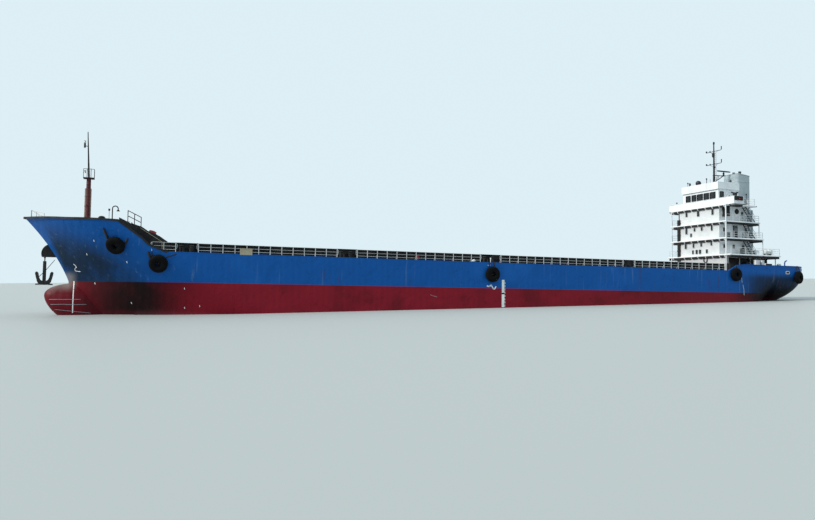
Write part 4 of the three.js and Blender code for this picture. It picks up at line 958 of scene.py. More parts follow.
def mastTrunkAndHighlightShape():
    # A wide beige cable trunk up the mast's fore side, which also stands for the painted highlight on the
    # tube's sunlit side, and a narrow one aft, both rounded channels with clips
    x, foot, top = foremast["x"], foremast["foot"], foremast["head"] - 1.2
    for x0, x1, half in ((x + 0.13, x + 0.36, 0.17), (x - 0.32, x - 0.22, 0.09)):
        yield slab(x0, x1, -half, half, foot + 0.1, top, 0.03)
        for z in np.arange(foot + 0.8, top, 1.1):
            yield slab(x0, x1 + 0.02, -half - 0.03, half + 0.03, z, z + 0.06, 0.03)


def mastRungShape():
    # A ladder on the mast's port side
    foot, head = foremast["foot"], foremast["head"]
    levels = np.arange(foot + 0.5, head - 0.1, foremast["rungStep"])
    yield ladderShape(foremast["x"], foremast["stileOut"], (0.2, 0, 0), levels, (foot, head + 1),
                      (0.016, 0.022))


def mastTopShape():
    # Platform, tapering topmast, crosstree with its braces, a lamp branch and thin aerials
    x, high, lean = foremast["x"], foremast["topHead"], foremast["topLean"]
    z, half = foremast["platform"]
    treeZ, treeHalf = foremast["crosstree"]
    branchZ, reach = foremast["branch"]
    corners = np.array([(x - half, -half, z), (x - half, half, z), (x + half, half, z)])
    yield slab(x - half, x + half, -half, half, z, z + 0.08, 0.12, 4)
    yield tube(corners + [0, 0, 1], 0.025, 8)
    yield bars(corners, corners + [0, 0, 1], 0.025)
    yield bars((x, 0, z), (x + lean, 0, high), 0.11, 14, 0.045)
    yield bars((x + 0.07, -treeHalf, treeZ), (x + 0.07, treeHalf, treeZ), 0.05, 10)
    yield bars((x + 0.05, 0, treeZ - 0.9), [(x + 0.07, -1.2, treeZ), (x + 0.07, 1.2, treeZ)], 0.03)
    yield bars((x + 0.16, 0, branchZ), (x + reach, 0, branchZ + 0.02), 0.04)
    yield bars((x + reach - 0.1, 0, branchZ - 0.18), (x + reach - 0.1, 0, branchZ + 0.34), 0.1, 12)
    feet = at(x + 0.07, np.array([-1.9, -1.2, 1.2, 1.9]), treeZ)
    yield bars(feet, feet + [0, 0, 0.45], 0.02, 6, 0.01)


def mastLampShape():
    # Two masthead lanterns: a lens between a base and a hood, turned from one profile
    profile = [(0, 0.1), (0.05, 0.12), (0.06, 0.1), (0.26, 0.1), (0.27, 0.13), (0.33, 0.05)]
    x, (low, high) = foremast["x"], foremast["lampZ"]
    for place in ((x + 0.42, 0.1, low), (x + foremast["branch"][1] - 0.1, 0, high)):
        yield lathe(profile, place, sides=16)


windlass = {"x": 46.85, "foot": 7.5, "shaft": 0.78, "drumY": 1.42, "drum": 0.3, "flange": 0.5, "warpY": 2.42,
            "brakeY": 0.95, "pedestalY": (1.88, 2.04)}


def windlassShape():
    # Bed plate, gear case with a sloped lid, brake handwheels, gypsies and warping ends, each turned from a
    # profile
    x, foot, drum, flange = windlass["x"], windlass["foot"], windlass["drum"], windlass["flange"]
    z = foot + windlass["shaft"]
    gear = [(x - 0.4, foot + 0.1), (x + 0.45, foot + 0.1), (x + 0.45, foot + 0.85), (x + 0.2, foot + 1.15),
            (x - 0.25, foot + 1.15), (x - 0.4, foot + 0.95)]
    pedestal = [(x - 0.35, foot + 0.08), (x + 0.35, foot + 0.08), (x + 0.14, z + 0.16), (x - 0.14, z + 0.16)]
    gypsy = [(-0.36, flange * 0.5), (-0.35, flange), (-0.3, flange), (-0.28, drum), (0.1, drum * 0.92),
             (0.12, flange),
             (0.17, flange), (0.19, drum * 1.2), (0.3, drum * 1.2), (0.32, flange), (0.36, flange),
             (0.37, 0.15)]
    warp = [(-0.2, 0.12), (-0.19, 0.3), (-0.14, 0.31), (-0.05, 0.2), (0.08, 0.2), (0.16, 0.31), (0.2, 0.28),
            (0.21, 0.1)]
    yield boxes((x - 0.65, -2.4, foot), (x + 0.65, 2.4, foot + 0.1))
    yield prism(gear, -0.5, 0.5)
    yield bars((x, -2.6, z), (x, 2.6, z), 0.1, 16)
    for side in (1, -1):
        brake, (near, far) = side * windlass["brakeY"], windlass["pedestalY"]
        yield lathe(gypsy, (x, side * windlass["drumY"], z), (0, side, 0), 28)
        yield lathe(warp, (x, side * windlass["warpY"], z), (0, side, 0), 24)
        yield prism(pedestal, side * near, side * far)
        yield bars((x + 0.45, brake, foot + 0.1), (x + 0.35, brake, foot + 1.2), 0.03)
        yield torus((x + 0.35, brake, foot + 1.22), (0.2, 0, 1), 0.17, 0.02, sides=20, ribs=8)


def chainShape(start, end, linkLength, across, thick):
    # A chain from start to end: ovals, each a round bar bent round two half circles, every other one turned
    start, end = np.asarray(start, float), np.asarray(end, float)
    along = unit(end - start)
    side, rise = crossAxes(along)
    pitch = linkLength - 2.2 * thick
    turn = np.linspace(0, 2 * pi, 16, endpoint=False)[:, None]
    lengthwise = along * (np.cos(turn) * across / 2 + np.sign(np.cos(turn)) * (linkLength - across) / 2)
    for k in range(max(int(np.linalg.norm(end - start) / pitch), 1)):
        flat = side if k % 2 else rise
        oval = start + along * pitch * (k + 0.5) + lengthwise + flat * np.sin(turn) * across / 2
        yield tube(oval, thick, 8, np.cross(along, flat), closed=True)


def windlassChainShape():
    # From each gypsy down to the deck
    for side in (1, -1):
        yield from chainShape((47.2, side * 1.5, 8.3), (49.0, side * 1.1, 7.66), 0.34, 0.2, 0.035)


gooseneck = {"x": 45.95, "y": 5.0, "foot": 7.5, "bendZ": 9.9, "bend": 0.28, "pipe": 0.055, "lampX": 46.26}


def gooseneckShape():
    # One bent pipe: a straight riser, a half circle forward to aft, and a bell mouth; a flange at the deck. A
    # lamp on a thin stem stands beside it.
    x, y, foot, lampX = (gooseneck[key] for key in ("x", "y", "foot", "lampX"))
    end = x - 2 * gooseneck["bend"]
    bend = laid(arc(x - gooseneck["bend"], gooseneck["bendZ"], gooseneck["bend"], 0, pi, 13), "y", y)
    yield tube(np.concatenate([[(x, y, foot)], bend, [(end, y, 9.75)]]), gooseneck["pipe"], 16, (0, 1, 0))
    yield lathe([(0, 0.2), (0.05, 0.2), (0.06, 0.1)], (x, y, foot), sides=20)
    yield lathe([(0, 0.1), (0.1, 0.16), (0.14, 0.16)], (end, y, 9.78), (0, 0, -1), 20)
    yield lathe([(0, 0.02), (0.02, 0.09), (0.2, 0.1), (0.24, 0.03)], (lampX, y, 9.64), sides=14)
    yield bars((lampX, y, foot), (lampX, y, 9.66), 0.02)


forecastleGear = {
    "railX": 44.3, "railHalf": 5.4, "deck": 7.5,
    "heads": ((48.9, 4.1), (48.9, 3.1), (46.2, 6.4), (45.3, 6.4)),
    "rollers": ((49.6, 3.9), (50.3, 3.3)), "vents": ((45.4, 2.6), (46.95, 5.75)),
    "stanchionX": (53.95, 53.35, 52.5), "stanchionZ": (9.79, 9.51, 9.24),
    "cheek": ((44.1, 8.3), (43.06, 7.98), (42.36, 7.5), (41.62, 7.25), (41.25, 7.05), (40.44, 6.5),
              (40.44, 5.4),
              (44.1, 5.4)),
}


def forecastleRailShape():
    # Three bars and their posts across the forecastle's after edge
    x, half, deck = forecastleGear["railX"], forecastleGear["railHalf"], forecastleGear["deck"]
    yield railShape([(x, -half, deck), (x, half, deck)], (0.4, 0.75, 1.1), 1.35)


def forecastleStairShape():
    # The flight and the sloping cheek plate on its inner side
    yield stairShape((44.08, 7.0, 7.48), (42.45, 7.0, 5.36), 0.46, 9, inner=False)
    yield prism(forecastleGear["cheek"], 6.7, 6.74)


def forecastleBitsShape():
    # Bollards, roller fairleads and ventilator heads on the forecastle, all turned from profiles
    post = [(0, 0.2), (0.5, 0.2), (0.54, 0.27), (0.6, 0.27), (0.66, 0.17)]
    roller = [(0, 0.2), (0.06, 0.2), (0.1, 0.13), (0.42, 0.13), (0.46, 0.2), (0.52, 0.2)]
    cowl = [(0, 0.16), (0.45, 0.16), (0.46, 0.32), (0.62, 0.34), (0.7, 0.22), (0.72, 0.02)]
    tall = [(0, 0.16), (1.1, 0.16), (1.11, 0.33), (1.35, 0.35), (1.47, 0.2), (1.5, 0.02)]
    cowlPlace, tallPlace = forecastleGear["vents"]
    for profile, sides, places in ((post, 20, forecastleGear["heads"]),
                                   (roller, 18, forecastleGear["rollers"]),
                                   (cowl, 22, (cowlPlace,)), (tall, 22, (tallPlace,))):
        for x, y in places:
            yield lathe(profile, (x, y, forecastleGear["deck"]), sides=sides)


def bowStanchionShape():
    # Light stanchions on the bulwark beside the stem, with one sloping line through their tops
    x, top = np.array(forecastleGear["stanchionX"]), np.array(forecastleGear["stanchionZ"])
    half = np.maximum(hullHalf(np.minimum(x, stemX(8.4) - 0.05), 8.4) - 0.06, 0.08)
    high = at(x, half, top)
    yield bars(at(x, half, bulwarkTopZ(x) - 0.05), high, 0.025)
    yield tube(high, 0.012, 6)


def fireBoxShape():
    # A hose box with rounded edges and a sloping lid on two legs beside the stair
    yield slab(41.64, 42.33, 6.95, 7.45, 6.36, 6.64, 0.1, 4, "y")
    yield prism([(41.6, 7.4), (42.36, 7.4), (42.36, 7.6), (42.2, 7.68), (41.85, 7.6), (41.6, 7.46)], 6.33,
                6.66)
    yield boxes([(41.65, 6.4, 5.4), (42.23, 6.4, 5.4)], [(41.73, 6.48, 6.98), (42.31, 6.48, 6.98)])


pod = {"x": 51.85, "z": 5.22, "reach": (1.05, 1.06), "y": (-0.25, -1.75), "flat": 4.86}


def podShape():
    # The anchor pod: half an oval bulging forward and up, cut flat at its bottom, its starboard cheek rounded
    turn = np.linspace(-0.35, pi + 0.35, 30)
    cheek = np.linspace(0, 1, 9)[:, None]
    swell = np.sqrt(1 - np.clip((cheek - 0.55) / 0.5, 0, 0.97) ** 2)
    x = pod["x"] + pod["reach"][0] * np.cos(turn) * swell
    z = np.maximum(pod["z"] + pod["reach"][1] * np.sin(turn) * swell, pod["flat"])
    yield lofted(at(x, pod["y"][0] + (pod["y"][1] - pod["y"][0]) * cheek, z))


anchor = {
    "x": 52.58, "y": -1.1, "top": 4.87, "crown": 1.88, "flukeHalf": 0.15,
    "fluke": ((0.05, 0.0), (0.5, 0.02), (0.68, 0.3), (0.8, 0.75), (0.9, 1.2), (0.86, 1.36), (0.7, 1.4),
              (0.58, 1.25), (0.5, 0.8), (0.38, 0.52), (0.2, 0.4), (0.05, 0.36)),
}


def anchorShape():
    # Stockless anchor: tapering shank, a crown swept with a rounded profile and two flukes whose outline
    # curves up and thins towards the tip; a shackle at the top
    x, y, top, low = (anchor[key] for key in ("x", "y", "top", "crown"))
    yield sweep([(x, y, low), (x, y, low + 1.2), (x, y, top - 0.45)],
                [roundRect(-w, w, -0.09, 0.09, 0.03, 2) for w in (0.175, 0.175, 0.165)], upward=(0, 1, 0))
    yield sweep([(x - 0.85, y, low), (x - 0.6, y, low + 0.02), (x + 0.6, y, low + 0.02), (x + 0.85, y, low)],
                [roundRect(-w, w, -0.06, 0.08, 0.03, 2) for w in (0.1, 0.22, 0.22, 0.1)])
    for way in (1, -1):
        yield prism(np.array(anchor["fluke"]) * [way, 1] + [x, low], y - anchor["flukeHalf"],
                    y + anchor["flukeHalf"])
    yield torus((x, y, top - 0.28), (1, 0, 0), 0.17, 0.05, sides=20, ribs=8)
    yield bars((x, y, top - 0.15), (x, y, top), 0.09, 10)


def lashingShape():
    # A wire from the stem to the anchor's shank and on to a fluke
    y = anchor["y"]
    yield bars([(51.55, -0.3, 4.55), (52.66, y + 0.12, 3.2)], [(52.5, y + 0.12, 3.35), (53.1, y, 2.7)], 0.03,
               6)


addPiece("foremastTube", mastTubeShape(), mastRed, stands=["foremast"])
# the beige fore trunk also stands for the highlight on the mast's sunlit side
addPiece("foremastTrunksAndHighlight", mastTrunkAndHighlightShape(), stileBeige)
addPiece("foremastRungs", mastRungShape(), mastRed, both=True)
addPiece("foremastTop", mastTopShape(), blackPaint)
addPiece("foremastLamps", mastLampShape(), clearLens)
addPiece("windlassGear", windlassShape(), blackPaint, stands=["windlass"], bevel=0.015)
addPiece("windlassChains", windlassChainShape(), chainSteel)
addPiece("gooseneck", gooseneckShape(), blackPaint, stands=["gooseneck_vent"])
addPiece("forecastleRails", forecastleRailShape(), blackPaint, stands=["forecastle_rail"])
addPiece("forecastleStairs", forecastleStairShape(), blackPaint,
         stands=["forecastle_stair_port", "forecastle_stair_starboard"], both=True)
# the light rail that runs down beside each flight
addPiece("rampHandrails", [tube([(43.19, 7.0, 7.82), (41.05, 7.0, 6.45), (41.0, 7.0, 5.35)], 0.025, 8)],
         stileBeige,
         both=True)
addPiece("bowStanchions", bowStanchionShape(), stileBeige, both=True)
addPiece("forecastleBits", forecastleBitsShape(), blackPaint, both=True)
addPiece("fireBox", fireBoxShape(), safetyRed, bevel=0.012)
addPiece("anchorPod", podShape(), blackPaint, stands=["anchor_pod"], sharp=50)
addPiece("anchorIron", anchorShape(), anchorBlack, stands=["anchor"], bevel=0.012)
addPiece("anchorLashing", lashingShape(), ropeTarred)
print("stage: forecastle, mast and anchor")

tyres = {
    "outer": 0.97, "tube": 0.37, "flat": 0.85, "bite": 0.06, "treads": 26, "hub": 0.21,
    # [x, z] of each tyre on the side, the same on both sides
    "places": ((45.49, 6.0), (41.36, 4.2), (2.4, 3.94), (-37.46, 4.84)),
    "stern": ((-0.225, 0.974, 0.0), 4.7),
    "ropeRadius": 0.045,
    # [tyre's place in the list, shift along x at the tyre, shift along x at the top, height of the top]
    "ropes": ((1, 0.5, 0.72, 5.4), (1, -0.6, -1.75, 5.15),
              (2, 0.42, 0.3, 5.55), (2, -0.42, -0.3, 5.55), (3, 0.4, 0.22, 6.0), (3, -0.4, -0.22, 6.25)),
    # hanks of rope beside the two bow tyres: [x, z] of both ends
    "hanks": (((46.75, 7.6), (46.2, 6.3)), ((44.42, 6.62), (44.75, 5.85)), ((42.45, 5.35), (42.1, 4.5))),
    "hankRadius": 0.13,
}


def sideNormal(x, z):
    # Direction out of the port plating at a point: across the surface's slopes along x and z
    step = 0.7
    alongSlope = (hullHalf(x + step, z) - hullHalf(x - step, z)) / (2 * step)
    upSlope = (hullHalf(x, z + step) - hullHalf(x, np.minimum(z + step, 8.4) - 2 * step)) / (2 * step)
    up = np.where(z > 4.4, (hullHalf(x, z) - hullHalf(x, z - step)) / step, upSlope)
    return unit(at(-alongSlope, 1.0, -up))


# centres and axes of the port tyres, pressed a little into the plating, and of the single one at the stern
tyreX, tyreZ = np.array(tyres["places"]).T
tyreReach = tyres["tube"] * tyres["flat"] - tyres["bite"]
tyreAxes = sideNormal(tyreX, tyreZ)
tyreCentres = at(tyreX, hullHalf(tyreX, tyreZ), tyreZ) + tyreAxes * tyreReach
sternAxis = np.array(tyres["stern"][0])
sternCentre = (np.array([hull["sternX"] + hull["quarter"], hull["halfBeam"] - hull["quarter"],
                         tyres["stern"][1]])
               + sternAxis * (hull["quarter"] + tyreReach))


def tyreShape(centre, axis):
    # A truck tyre: around the axis, a section that is a flattened superellipse; its outer half carries
    # cross treads, a square wave of the angle
    axis = unit(axis)
    side, rise = crossAxes(axis)
    turn = np.arange(4 * tyres["treads"])[:, None] * pi / (2 * tyres["treads"])
    section = np.linspace(0, 2 * pi, 20, endpoint=False)
    tread = 1 - 0.05 * (np.arange(len(turn)) % 4 < 2)[:, None] * (np.cos(section) > 0.55)
    radius = tyres["outer"] - tyres["tube"] + lifted(np.cos(section), 0.8) * tyres["tube"] * tread
    lift = lifted(np.sin(section), 0.8) * tyres["tube"] * tyres["flat"]
    points = (centre + (np.cos(turn) * radius)[..., None] * side + (np.sin(turn) * radius)[..., None] * rise
              + lift[:, None] * axis)
    return gridShape(points, closeU=True, closeV=True)


def hubShape(centre, axis):
    # A dished steel plate behind the tyre's opening with an eye for the chain
    profile = [(-0.3, 0.2), (-0.28, tyres["hub"]), (-0.2, tyres["hub"]), (-0.16, 0.12), (-0.1, 0.05)]
    return lathe(profile, centre, axis, 18)


def atTyres(shape):
    # A shape at the tyres of both sides and at the one at the stern
    yield bothSides(*map(shape, tyreCentres, tyreAxes))
    yield shape(sternCentre, sternAxis)


def sideRopeShape(row):
    # A rope from a tyre's upper edge up the plating: the plating's half breadth at each height, plus its
    # radius
    place, low, high, top = row
    centre = tyreCentres[place]
    z = np.linspace(centre[2] + 0.62, top, 10)
    x = np.linspace(centre[0] + low, centre[0] + high, 10)
    y = hullHalf(x, np.minimum(z, 8.5)) + tyres["ropeRadius"] + 0.02
    y = np.where((z > hull["deckZ"] + 0.1) & (x < 40), hull["halfBeam"] + tyres["ropeRadius"], y)
    return tube(np.concatenate([[centre + (low * 0.85, 0.2, 0.5)], at(x, y, z)]), tyres["ropeRadius"], 8)


def hankShape(ends):
    # A hank of spare rope against the plating: a tube between its two ends, bowed outwards and thin at the
    # ends
    share = np.linspace(0, 1, 9)
    x, z = (start + (end - start) * share for start, end in zip(*ends))
    radius = tyres["hankRadius"] * (0.45 + 0.55 * np.sin(pi * share))
    return tube(at(x, hullHalf(x, z) + 0.08, z), radius, 10, (0, 1, 0))


def tyreRopeShape():
    # The ropes and hanks of both sides, and two ropes from the tyre at the stern up to the bulwark
    yield bothSides(*map(sideRopeShape, tyres["ropes"]), *map(hankShape, tyres["hanks"]))
    across = np.array([-sternAxis[1], sternAxis[0], 0]) * [[1], [-1]]
    yield bars(sternCentre + [0, 0, 0.8] + 0.35 * across,
               sternCentre + [0, 0, 1.75] - 0.25 * sternAxis + 0.2 * across,
               tyres["ropeRadius"])


def platingY(x, z):
    # Half breadth of the outermost plating: the hull's, or the bulb's where that stands further out
    back = np.clip(bulb["tipX"] - x, 0.001, bulb["length"])
    top, low, half = bulbCurves(back)
    share = np.clip(np.abs(z - (top + low) / 2) / ((top - low) / 2), 0, 1)
    bulging = np.where((back < bulb["length"]) & (share < 1), half * np.sqrt(1 - share ** 2), 0)
    return np.maximum(np.where(x < stemX(z), hullHalf(np.minimum(x, stemX(z) - 0.01), z), 0), bulging)


def markShape(corners, steps=6, lift=0.012):
    # A painted mark as a thin skin: a grid between four [x, z] corners, laid on the plating and lifted off
    # it. Its rim drops back into the plating.
    a, b, c, d = corners
    u = np.linspace(0, 1, steps)[:, None, None]
    v = np.linspace(0, 1, 3)[None, :, None]
    flat = a * (1 - u) * (1 - v) + b * u * (1 - v) + c * u * v + d * (1 - u) * v
    x, z = np.moveaxis(np.pad(flat, ((1, 1), (1, 1), (0, 0)), mode="edge"), -1, 0)
    plating = platingY(x, z)
    points, faces = gridShape(at(x, plating + np.pad(np.full(flat.shape[:2], lift), 1,
                                                     constant_values=-0.01), z))
    m, n = x.shape
    rim = np.concatenate([np.arange(n), np.arange(1, m) * n + n - 1, m * n - 2 - np.arange(n - 1),
                          (np.arange(1, m - 1) * n)[::-1]])
    after = np.roll(rim, -1)
    walls = np.stack([rim, after, after + m * n, rim + m * n], -1)
    return (np.concatenate([points, at(x, plating - 0.02, z).reshape(-1, 3)]),
            faces + [faces[0][:, ::-1] + m * n, walls])


def strokeShape(points, width):
    # A painted line through [x, z] points: each leg is a mark of the given width, square at its ends
    points = np.asarray(points, float)
    for start, end in zip(points[:-1], points[1:]):
        along = unit(end - start)
        across = np.array([-along[1], along[0]]) * width / 2
        start, end = start - along * width / 4, end + along * width / 4
        yield markShape((start - across, end - across, end + across, start + across))


def linesShape(rows):
    # Several painted lines, each a row of points with its width
    for row, width in rows:
        yield from strokeShape(row, width)


# Plain seven-stroke numbers: corners of a figure one wide and two high, and the strokes each number takes
figure = {
    "points": ((0, 2), (1, 2), (1, 1), (1, 0), (0, 0), (0, 1)),
    "strokes": {0: ((0, 1, 3, 4, 0),), 2: ((0, 1, 2, 5, 4, 3),), 4: ((0, 5, 2), (1, 3)),
                6: ((1, 0, 4, 3, 2, 5),),
                8: ((0, 1, 3, 4, 0), (5, 2))},
}
marks = {
    # draught columns: [x, lowest and highest z, step of the numbers, width of the band]
    "columns": ((49.55, -1.1, 2.25, 0.4, 0.1), (0.8, 0.0, 3.2, 0.4, 0.36)),
    "figure": (0.075, 0.1), "stroke": 0.035,
    # small worn ticks on the forebody: [x, z]
    "ticks": ((47.61, 6.36), (48.28, 5.04), (44.41, 4.25), (47.43, 2.05), (43.78, 0.0), (38.69, 1.6),
              (38.54, -0.44),
              (37.07, -0.23)),
    # the load lines as a worn zigzag on the paint line, and the short deck line above
    "loadLines": ((((3.05, 2.5), (2.75, 2.42), (2.5, 2.62), (2.2, 2.2), (2.0, 2.12), (1.8, 2.45)), 0.13),
                  (((3.0, 5.05), (2.6, 5.05)), 0.05)),
    # pale drips below the tyre on the quarter, scratches on the bulb and on the underwater paint
    "drips": ((((-38.65, 5.2), (-38.72, 4.5), (-38.8, 3.7)), 0.09),
              (((-38.95, 3.4), (-39.15, 2.7), (-39.2, 1.9)), 0.09),
              (((51.9, 0.28), (51.0, 0.3), (49.9, 0.31), (48.82, 0.32)), 0.03),
              (((51.75, -0.25), (50.6, -0.22), (49.4, -0.24), (48.23, -0.21)), 0.03),
              (((51.3, -0.78), (50.1, -0.9), (48.9, -1.02), (47.78, -1.14)), 0.03),
              (((10.7, 1.29), (9.81, 1.06)), 0.03)),
}


def draughtMarkShape():
    # At each column a solid painted band; the wide one has the numbers close beside it, aft. Forward is
    # towards the reader's left, so a figure runs aft along x.
    width, rise = marks["figure"]
    for x, low, high, step, band in marks["columns"]:
        for k in range(int((high - low) / step) if band > 0.3 else 0):
            left, foot = x - band / 2 - 0.04, low + k * step
            for stroke in figure["strokes"][(2, 4, 6, 8, 0)[k % 5]]:
                corners = [(left - figure["points"][k][0] * width,
                            foot + figure["points"][k][1] * rise) for k in stroke]
                yield from strokeShape(corners, marks["stroke"])
        yield from strokeShape([(x, low), (x, (low + high) / 2), (x, high)], band)


def bowSymbolShape():
    # The sign for a bulb, a hook-shaped line with its nose forward, and small ticks on the bow
    nose = arc(49.3, 3.52, (-0.17, 0.19), 0.5 * pi, 1.6 * pi, 12)
    hook = np.concatenate([[(49.6, 4.07), (49.42, 3.9)], nose[:-2], [(48.92, 3.28)]])
    ticks = [(((x + 0.025, z + 0.08), (x - 0.025, z - 0.08)), 0.06) for x, z in marks["ticks"]]
    return linesShape([(hook, 0.055)] + ticks)


# openings in the stern's bulwark: [x, lowest and highest z, half length]
fairlead = {"places": ((-51.9, 5.72, 6.17, 0.42), (-47.95, 5.2, 5.55, 0.34)), "radius": 0.12, "rim": 0.08}


def fairleadShape():
    # Chocks in the quarter's bulwark: a heavy rounded ring round each opening, following the stern's plan
    for place, low, high, half in fairlead["places"]:
        along, z = roundRect(-half, half, low, high, fairlead["radius"]).T
        x = place + along
        yield tube(at(x, sternPlan(x) - 0.04, z), fairlead["rim"], 10, (0, 1, 0), closed=True)


def fairleadShadeShape():
    # Each opening's shadowed inside, painted as a thin black plate curved with the bulwark
    for place, low, high, half in fairlead["places"]:
        x = place + np.linspace(-half, half, 7)
        rows = ((-0.16, low), (0.02, low), (0.02, high), (-0.16, high))
        yield lofted(np.stack([at(x, sternPlan(x) + shift, level) for shift, level in rows], 1))


sideBoard = {"x": (31.85, 33.1), "z": (5.34, 5.99), "y": 8.07}


def sideBoardShape():
    # A notice board without a notice: a plate with turned edges inside a raised rim of flat bar, on three
    # legs
    (x0, x1), (z0, z1), y = sideBoard["x"], sideBoard["z"], sideBoard["y"]
    yield boxes((x0, y - 0.015, z0), (x1, y + 0.015, z1))
    yield sweep([(x0, y, z0), (x1, y, z0), (x1, y, z1), (x0, y, z1)], flatBar(0.03, 0.035), (0, 1, 0),
                closed=True)
    x = np.linspace(x0 + 0.15, x1 - 0.15, 3)
    yield bars(at(x, y - 0.05, hull["deckZ"]), at(x, y - 0.05, z1), 0.03)


# small things on the side decks, seen over the rail: [x, z of the head, radius]
sideDeckCaps = {"white": ((4.65, 5.74, 0.24), (-0.22, 5.42, 0.12), (2.29, 6.0, 0.1)),
                "red": ((12.15, 5.95, 0.16),),
                "y": 7.6}


def sideCapShape(kind):
    # Air-pipe heads and hydrants: a stem and a domed cap, turned from one profile
    for x, z, r in sideDeckCaps[kind]:
        high = z - hull["deckZ"]
        profile = [(0, r * 0.6), (high - r, r * 0.6), (high - r + 0.01, r), (high - r * 0.3, r),
                   (high, r * 0.3)]
        yield lathe([(max(level, 0), out) for level, out in profile], (x, sideDeckCaps["y"], hull["deckZ"]),
                    sides=16)


addPiece("tyreRings", atTyres(tyreShape), tyreBlack, sharp=50,
         stands=[f"tyre_{place}_{side}" for place in ("bow_upper", "bow_lower", "middle", "quarter")
                 for side in ("port", "starboard")] + ["tyre_stern"])
addPiece("tyreHubs", atTyres(hubShape), rustySteel)
addPiece("tyreRopes", tyreRopeShape(), ropeTarred)
addPiece("draughtMarks", draughtMarkShape(), markWhite, both=True)
addPiece("loadLine", linesShape(marks["loadLines"]), markWhite, both=True)
addPiece("bowSymbols", bowSymbolShape(), markWhite, both=True)
addPiece("sideMarks", linesShape(marks["drips"]), funnelGrey, both=True)
addPiece("fairleadRings", fairleadShape(), railPaint, both=True)
# black plates that stand for the shade inside the openings
addPiece("fairleadShadePlates", fairleadShadeShape(), blackPaint, both=True)
addPiece("noticeBoard", sideBoardShape(), stileBeige)
addPiece("airPipeHeads", sideCapShape("white"), whitePaint, both=True)
addPiece("hydrants", sideCapShape("red"), safetyRed, both=True)
print("stage: fenders and marks")

house = {
    "front": -38.6, "edge": -38.35, "half": 4.1, "feet": (5.3, 7.95, 10.45, 12.95),
    "decks": (7.95, 10.45, 12.95, 15.45),
    # [foot, top, after end, half width] of the four tiers
    "tiers": ((5.3, 7.81, -47.2, 5.2), (7.95, 10.31, -44.8, 4.1), (10.45, 12.81, -44.6, 4.1),
              (12.95, 15.31, -44.2, 4.1)),
    "corner": 0.18, "brackets": (-5.25, -4.24, -2.81, -1.31, 0.06, 1.59, 2.99, 4.36, 5.32),
    "soffit": (0.16, 0.46),
}


def tierShape():
    # Each tier: a rounded plan carried up, with a shallow swage line under its top, a flat bar at its foot
    for foot, top, aft, half in house["tiers"]:
        plan = roundRect(aft, house["front"], -half, half, house["corner"], 5)
        outward = np.sign(plan - [(aft + house["front"]) / 2, 0])
        rows = [(foot, 0.03), (foot + 0.12, 0.03), (foot + 0.13, 0.0), (top - 0.3, 0.0), (top - 0.28, 0.02),
                (top - 0.22, 0.02), (top - 0.2, 0.0), (top, 0.0)]
        yield lofted([laid(plan + outward * out, "z", z) for z, out in rows])


def bracketShape():
    # Three-cornered brackets under the front edge of each deck, one plate thick
    near, far = house["front"] - 0.02, house["edge"] - 0.02
    for top in house["decks"]:
        for y in house["brackets"]:
            yield prism([(near, top - 0.1), (far, top - 0.1), (far, top - 0.3), (near, top - 0.55)],
                        y - 0.055, y + 0.055)


def underDeckShadeShape():
    # Black panels between the brackets that stand for the shadow under each deck's front edge: slightly bowed
    # plates hung there
    low, high = house["soffit"]
    edges = house["brackets"]
    for top in house["decks"]:
        for y0, y1 in zip(edges[:-1], edges[1:]):
            loop = roundRect(y0 + 0.14, y1 - 0.14, top - high, top - low, 0.05, 2)
            middle = loop.mean(0)
            yield lofted([laid(middle + (loop - middle) * share, "x", house["edge"] - 0.05 + depth)
                          for depth, share in ((-0.26, 1.0), (-0.03, 1.0), (0.0, 0.96))])


galleries = {
    # [top, after end, half width, inner edge of the stair openings]
    "rows": ((7.95, -48.5, 6.5, 5.29), (10.45, -45.93, 5.7, 4.44), (12.95, -45.2, 5.7, 4.44),
             (15.45, -44.4, 5.7, 4.44)),
    "fore": -38.35, "thick": 0.14, "openX": (-44.6, -42.75), "openWidth": 0.78, "casing": (-44.88, 2.02),
    "stair": (-42.85, -44.85), "rail": (0.36, 0.68, 1.03), "postY": 5.61, "girder": (0.46, 0.13),
}


def deckPlateShape():
    # Each deck as strips of plate that leave the stair openings and the funnel's casing free, then the wings
    (aftOpen, foreOpen), (casingX, casingY) = galleries["openX"], galleries["casing"]
    for top, aft, half, inner in galleries["rows"]:
        outer = inner + galleries["openWidth"]
        free = casingY if aft < casingX and top > 8 else 0.0
        strips = [(foreOpen, galleries["fore"], -half, half), (aftOpen, foreOpen, -inner, inner),
                  (aft, aftOpen, free, half), (aft, aftOpen, -half, -free),
                  (aftOpen, foreOpen, outer, half), (aftOpen, foreOpen, -half, -outer)]
        if free:
            strips.append((casingX + 0.02, aftOpen, -free, free))
        x0, x1, y0, y1 = np.array(strips).T
        yield boxes(at(x0, y0, top - galleries["thick"]), at(x1, y1, top))
    yield bothSides(boxes((-40.9, 5.7, 15.31), (-38.95, 6.69, 15.45)))


def deckRimShape():
    # A half-round bar along each deck's edge, and a low water bar inside it
    bulge = np.concatenate([arc(0, -0.07, (0.04, 0.075), -pi / 2, pi / 2, 7),
                            [(-0.05, 0.005), (-0.05, -0.145)]])
    lip = [(-0.012, -0.02), (0.012, -0.02), (0.012, 0.07), (-0.012, 0.07)]
    for top, aft, half, _ in galleries["rows"]:
        for inset, section in ((0, bulge), (0.12, lip)) if top < 15 else ((0.12, lip),):
            fore, back, side = galleries["fore"] - inset, aft + inset, half - inset
            yield sweep([(fore, -side, top), (fore, side, top), (back, side, top), (back, -side, top)],
                        section,
                        closed=top < 15)


